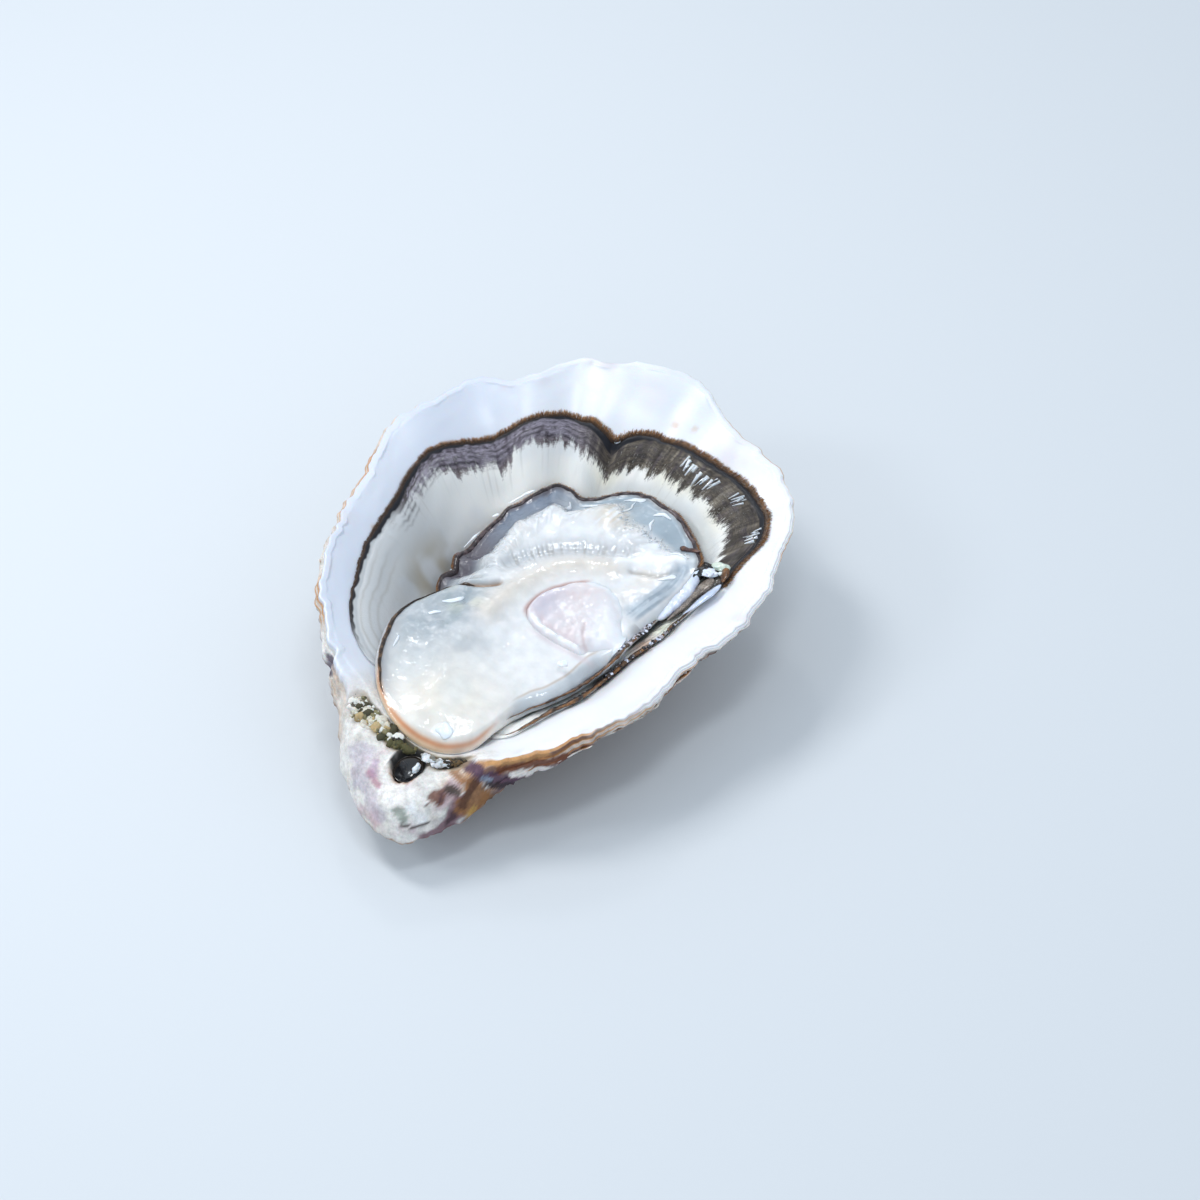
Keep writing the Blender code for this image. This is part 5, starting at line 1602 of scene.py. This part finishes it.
def muscle_place(turn, level):
    ring_x, ring_y = spot(turn, 10)
    edge = smooth(MUSCLE_EDGE, turn, 360) * 0.985 + 0.15 * waver(ring_x, ring_y, 0, 2, 141)
    wall = 0.3
    share = 1 - np.clip((np.abs(level) - wall) / (1 - wall), 0, 1)
    x, y = spot(turn, edge * share, MUSCLE_AT)
    edge_x, edge_y = spot(turn, edge * 1.12, MUSCLE_AT)
    around = body_top(edge_x, edge_y)
    flat = rim_plane(x, y) - BODY_TOP_BELOW_RIM + 0.2
    top = flat + (around - flat) * ramp(share, 0.55, 1.0) + MUSCLE_ABOVE_SEAT + 0.7 * (1 - share ** 2)
    rim = peak(share, 0.87, 0.075)
    fibres = waver(x * 2, y * 2, 0, 1.5, 144)
    top = top + torn_side(turn) * rim * (0.7 + 0.35 * fibres)
    top = top + 0.2 * waver(x, y, 0, 4, 142) + 0.07 * waver(x, y, 0, 1.3, 143)
    top = top + 0.22 * hump(x, y, *MUSCLE_PUCKER) * waver(x, y, 0, 1.0, 145)
    crease = fold(x, y, MUSCLE_CREASE, 0.45)
    top = top - 0.15 * crease
    low = cup_height(x, y) + MANTLE_PLAY
    middle = (top + low) / 2
    lean = np.clip(np.abs(level) / wall, 0, 1) ** 0.7
    merged = muscle_merge(turn)
    top = top - merged * 0.45 * ramp(share, 0.7, 1.0)
    rounding = 0.35 * (1 - merged) * ramp(share, 0.93, 1.0)
    return x, y, np.where(level > 0, middle + (top - rounding - middle) * lean, middle + (low - middle) * lean)


muscle, points, turn, level = closed_form("muscle_column", 200, 120, muscle_place, upper=0.8)
x, y, z = points.T
share = muscle_share(x, y)
colours = plain("#E0D8D9", x)
torn = torn_side(turn)
upper_left = ramp(turn, 96, 112) * (1 - ramp(turn, 200, 216))
colours = paint(colours, [
    ("#C6C0CC", 0.85 * hump(x, y, (3.5, -3), (4.5, 7))),
    ("#EFF1F6", 0.85 * hump(x, y, (20, -2), (6, 12))),
    ("#F6F6F8", 0.7 * ramp(waves(x, y, 0, 3.5, 3, 146), 0.25, 0.9)),
    ("#D3C0C2", 0.5 * ramp(waves(x, y, 0, 5, 3, 147), 0.2, 0.9)),
    ("#C9B2B2", 0.6 * fold(x, y, MUSCLE_CREASE, 0.45)),
    ("#F8F8FA", 0.9 * torn * np.exp(-(((share - 0.87 + 0.03 * waver(x, y, 0, 1.5, 148)) / 0.08) ** 2))),
    ("#D6C6C9", 0.6 * torn * peak(share, 0.72, 0.07)),
    ("#B08078", 0.85 * upper_left * ramp(share, 0.93, 0.99)),
    ("#EDEEF1", 0.9 * muscle_merge(turn) * ramp(share, 0.78, 0.93)),
])
keep_colours(muscle, colours)
keep_share(muscle, "ripples", np.clip(0.4 + 1.2 * hump(x, y, *MUSCLE_PUCKER), 0, 1.5))
# Muscle cut across: dense, smooth and wet, and light sinks well into it.
muscle_finish, tree, shader = finish_of("cut_muscle",
    {"Roughness": 0.3, "Coat Weight": 1.0, "Coat Roughness": 0.06, "Subsurface Weight": 0.6,
    "Subsurface Radius": (1.0, 0.7, 0.6), "Subsurface Scale": 1.5 * MM})
tint, ripples = (
    node(tree, "ShaderNodeAttribute", attribute_name=name)
    for name in ("tint", "ripples"))
lies = node(tree, "ShaderNodeTexCoord").outputs["Object"]
film = node(tree, "ShaderNodeTexNoise", {"Vector": lies, "Scale": 1 / (1.1 * MM), "Detail": 2.0, "Distortion": 0.8})
film_bump = node(tree, "ShaderNodeBump", {
    "Strength": ripples.outputs["Fac"], "Distance": 0.4 * MM, "Height": film.outputs["Fac"]})
wire(tree, shader, {
    "Base Color": tint.outputs["Color"],
    "Coat Normal": film_bump.outputs["Normal"],
})
muscle.data.materials.append(muscle_finish)
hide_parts("adductor_muscle")
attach(muscle, "root")

# ---------------------------------------------------------------------------------------------------------------
# The studio: a plain pale floor, soft light, and the camera.

VIEW_AZIMUTH_DEG, VIEW_ELEVATION_DEG = 25.0, 46.0
VIEW_DISTANCE = 0.8
VIEW_TARGET = Vector((0.01391, 0.00337, 0.024))
VIEW_LENS = 111.6


def way_to(azimuth, elevation):
    """The direction from the oyster at an azimuth and an elevation in degrees."""
    turn, up = math.radians(azimuth), math.radians(elevation)
    return Vector((math.sin(turn) * math.cos(up), -math.cos(turn) * math.cos(up), math.sin(up)))


ground = bmesh.new()
bmesh.ops.create_grid(ground, x_segments=1, y_segments=1, size=4)
mesh = bpy.data.meshes.new("floor")
ground.to_mesh(mesh)
ground.free()
floor = bpy.data.objects.new("floor", mesh)
bpy.context.scene.collection.objects.link(floor)
# Matt paper: pale, with no shine of its own.
paper, tree, shader = finish_of("pale_paper", {"Base Color": (*linear("#D6DADE"), 1), "Roughness": 0.7})
floor.data.materials.append(paper)

world = bpy.data.worlds.new("studio")
bpy.context.scene.world = world
world.use_nodes = True
sky = world.node_tree.nodes["Background"]
sky.inputs["Color"].default_value = (*linear("#E4F0FC"), 1)
sky.inputs["Strength"].default_value = 0.78

# The point the softboxes aim at, and for each its name, azimuth and elevation from the oyster, distance, width,
# height, watts and colour.
LAMPS_AIM = Vector((0, 0, 0.02))
SOFTBOXES = [
    ("window", 262, 58, 0.6, 0.13, 0.19, 1.2, "#FFFFFF"),
    ("overhead", 50, 80, 0.6, 0.17, 0.09, 0.6, "#F4FAFF"),
    ("side", 305, 40, 0.6, 0.10, 0.12, 0.45, "#F4FAFF"),
    ("back", 208, 45, 0.6, 0.05, 0.08, 0.22, "#FFFFFF"),
]
for name, azimuth, elevation, distance, wide, high, watts, colour in SOFTBOXES:
    lamp = bpy.data.lights.new(name, "AREA")
    lamp.shape = "RECTANGLE"
    lamp.size, lamp.size_y = wide, high
    lamp.energy = watts
    lamp.color = linear(colour)
    towards = way_to(azimuth, elevation)
    placed = bpy.data.objects.new(name, lamp)
    placed.location = towards * distance + LAMPS_AIM
    placed.rotation_euler = towards.to_track_quat("Z", "Y").to_euler()
    bpy.context.scene.collection.objects.link(placed)

lens = bpy.data.cameras.new("camera")
lens.lens = VIEW_LENS
lens.sensor_width = 36
lens.clip_start, lens.clip_end = 0.01, 20
camera = bpy.data.objects.new("camera", lens)
back = way_to(VIEW_AZIMUTH_DEG, VIEW_ELEVATION_DEG)
camera.location = VIEW_TARGET + back * VIEW_DISTANCE
camera.rotation_euler = back.to_track_quat("Z", "Y").to_euler()
bpy.context.scene.collection.objects.link(camera)
bpy.context.scene.camera = camera
bpy.context.scene.view_settings.view_transform = "Standard"
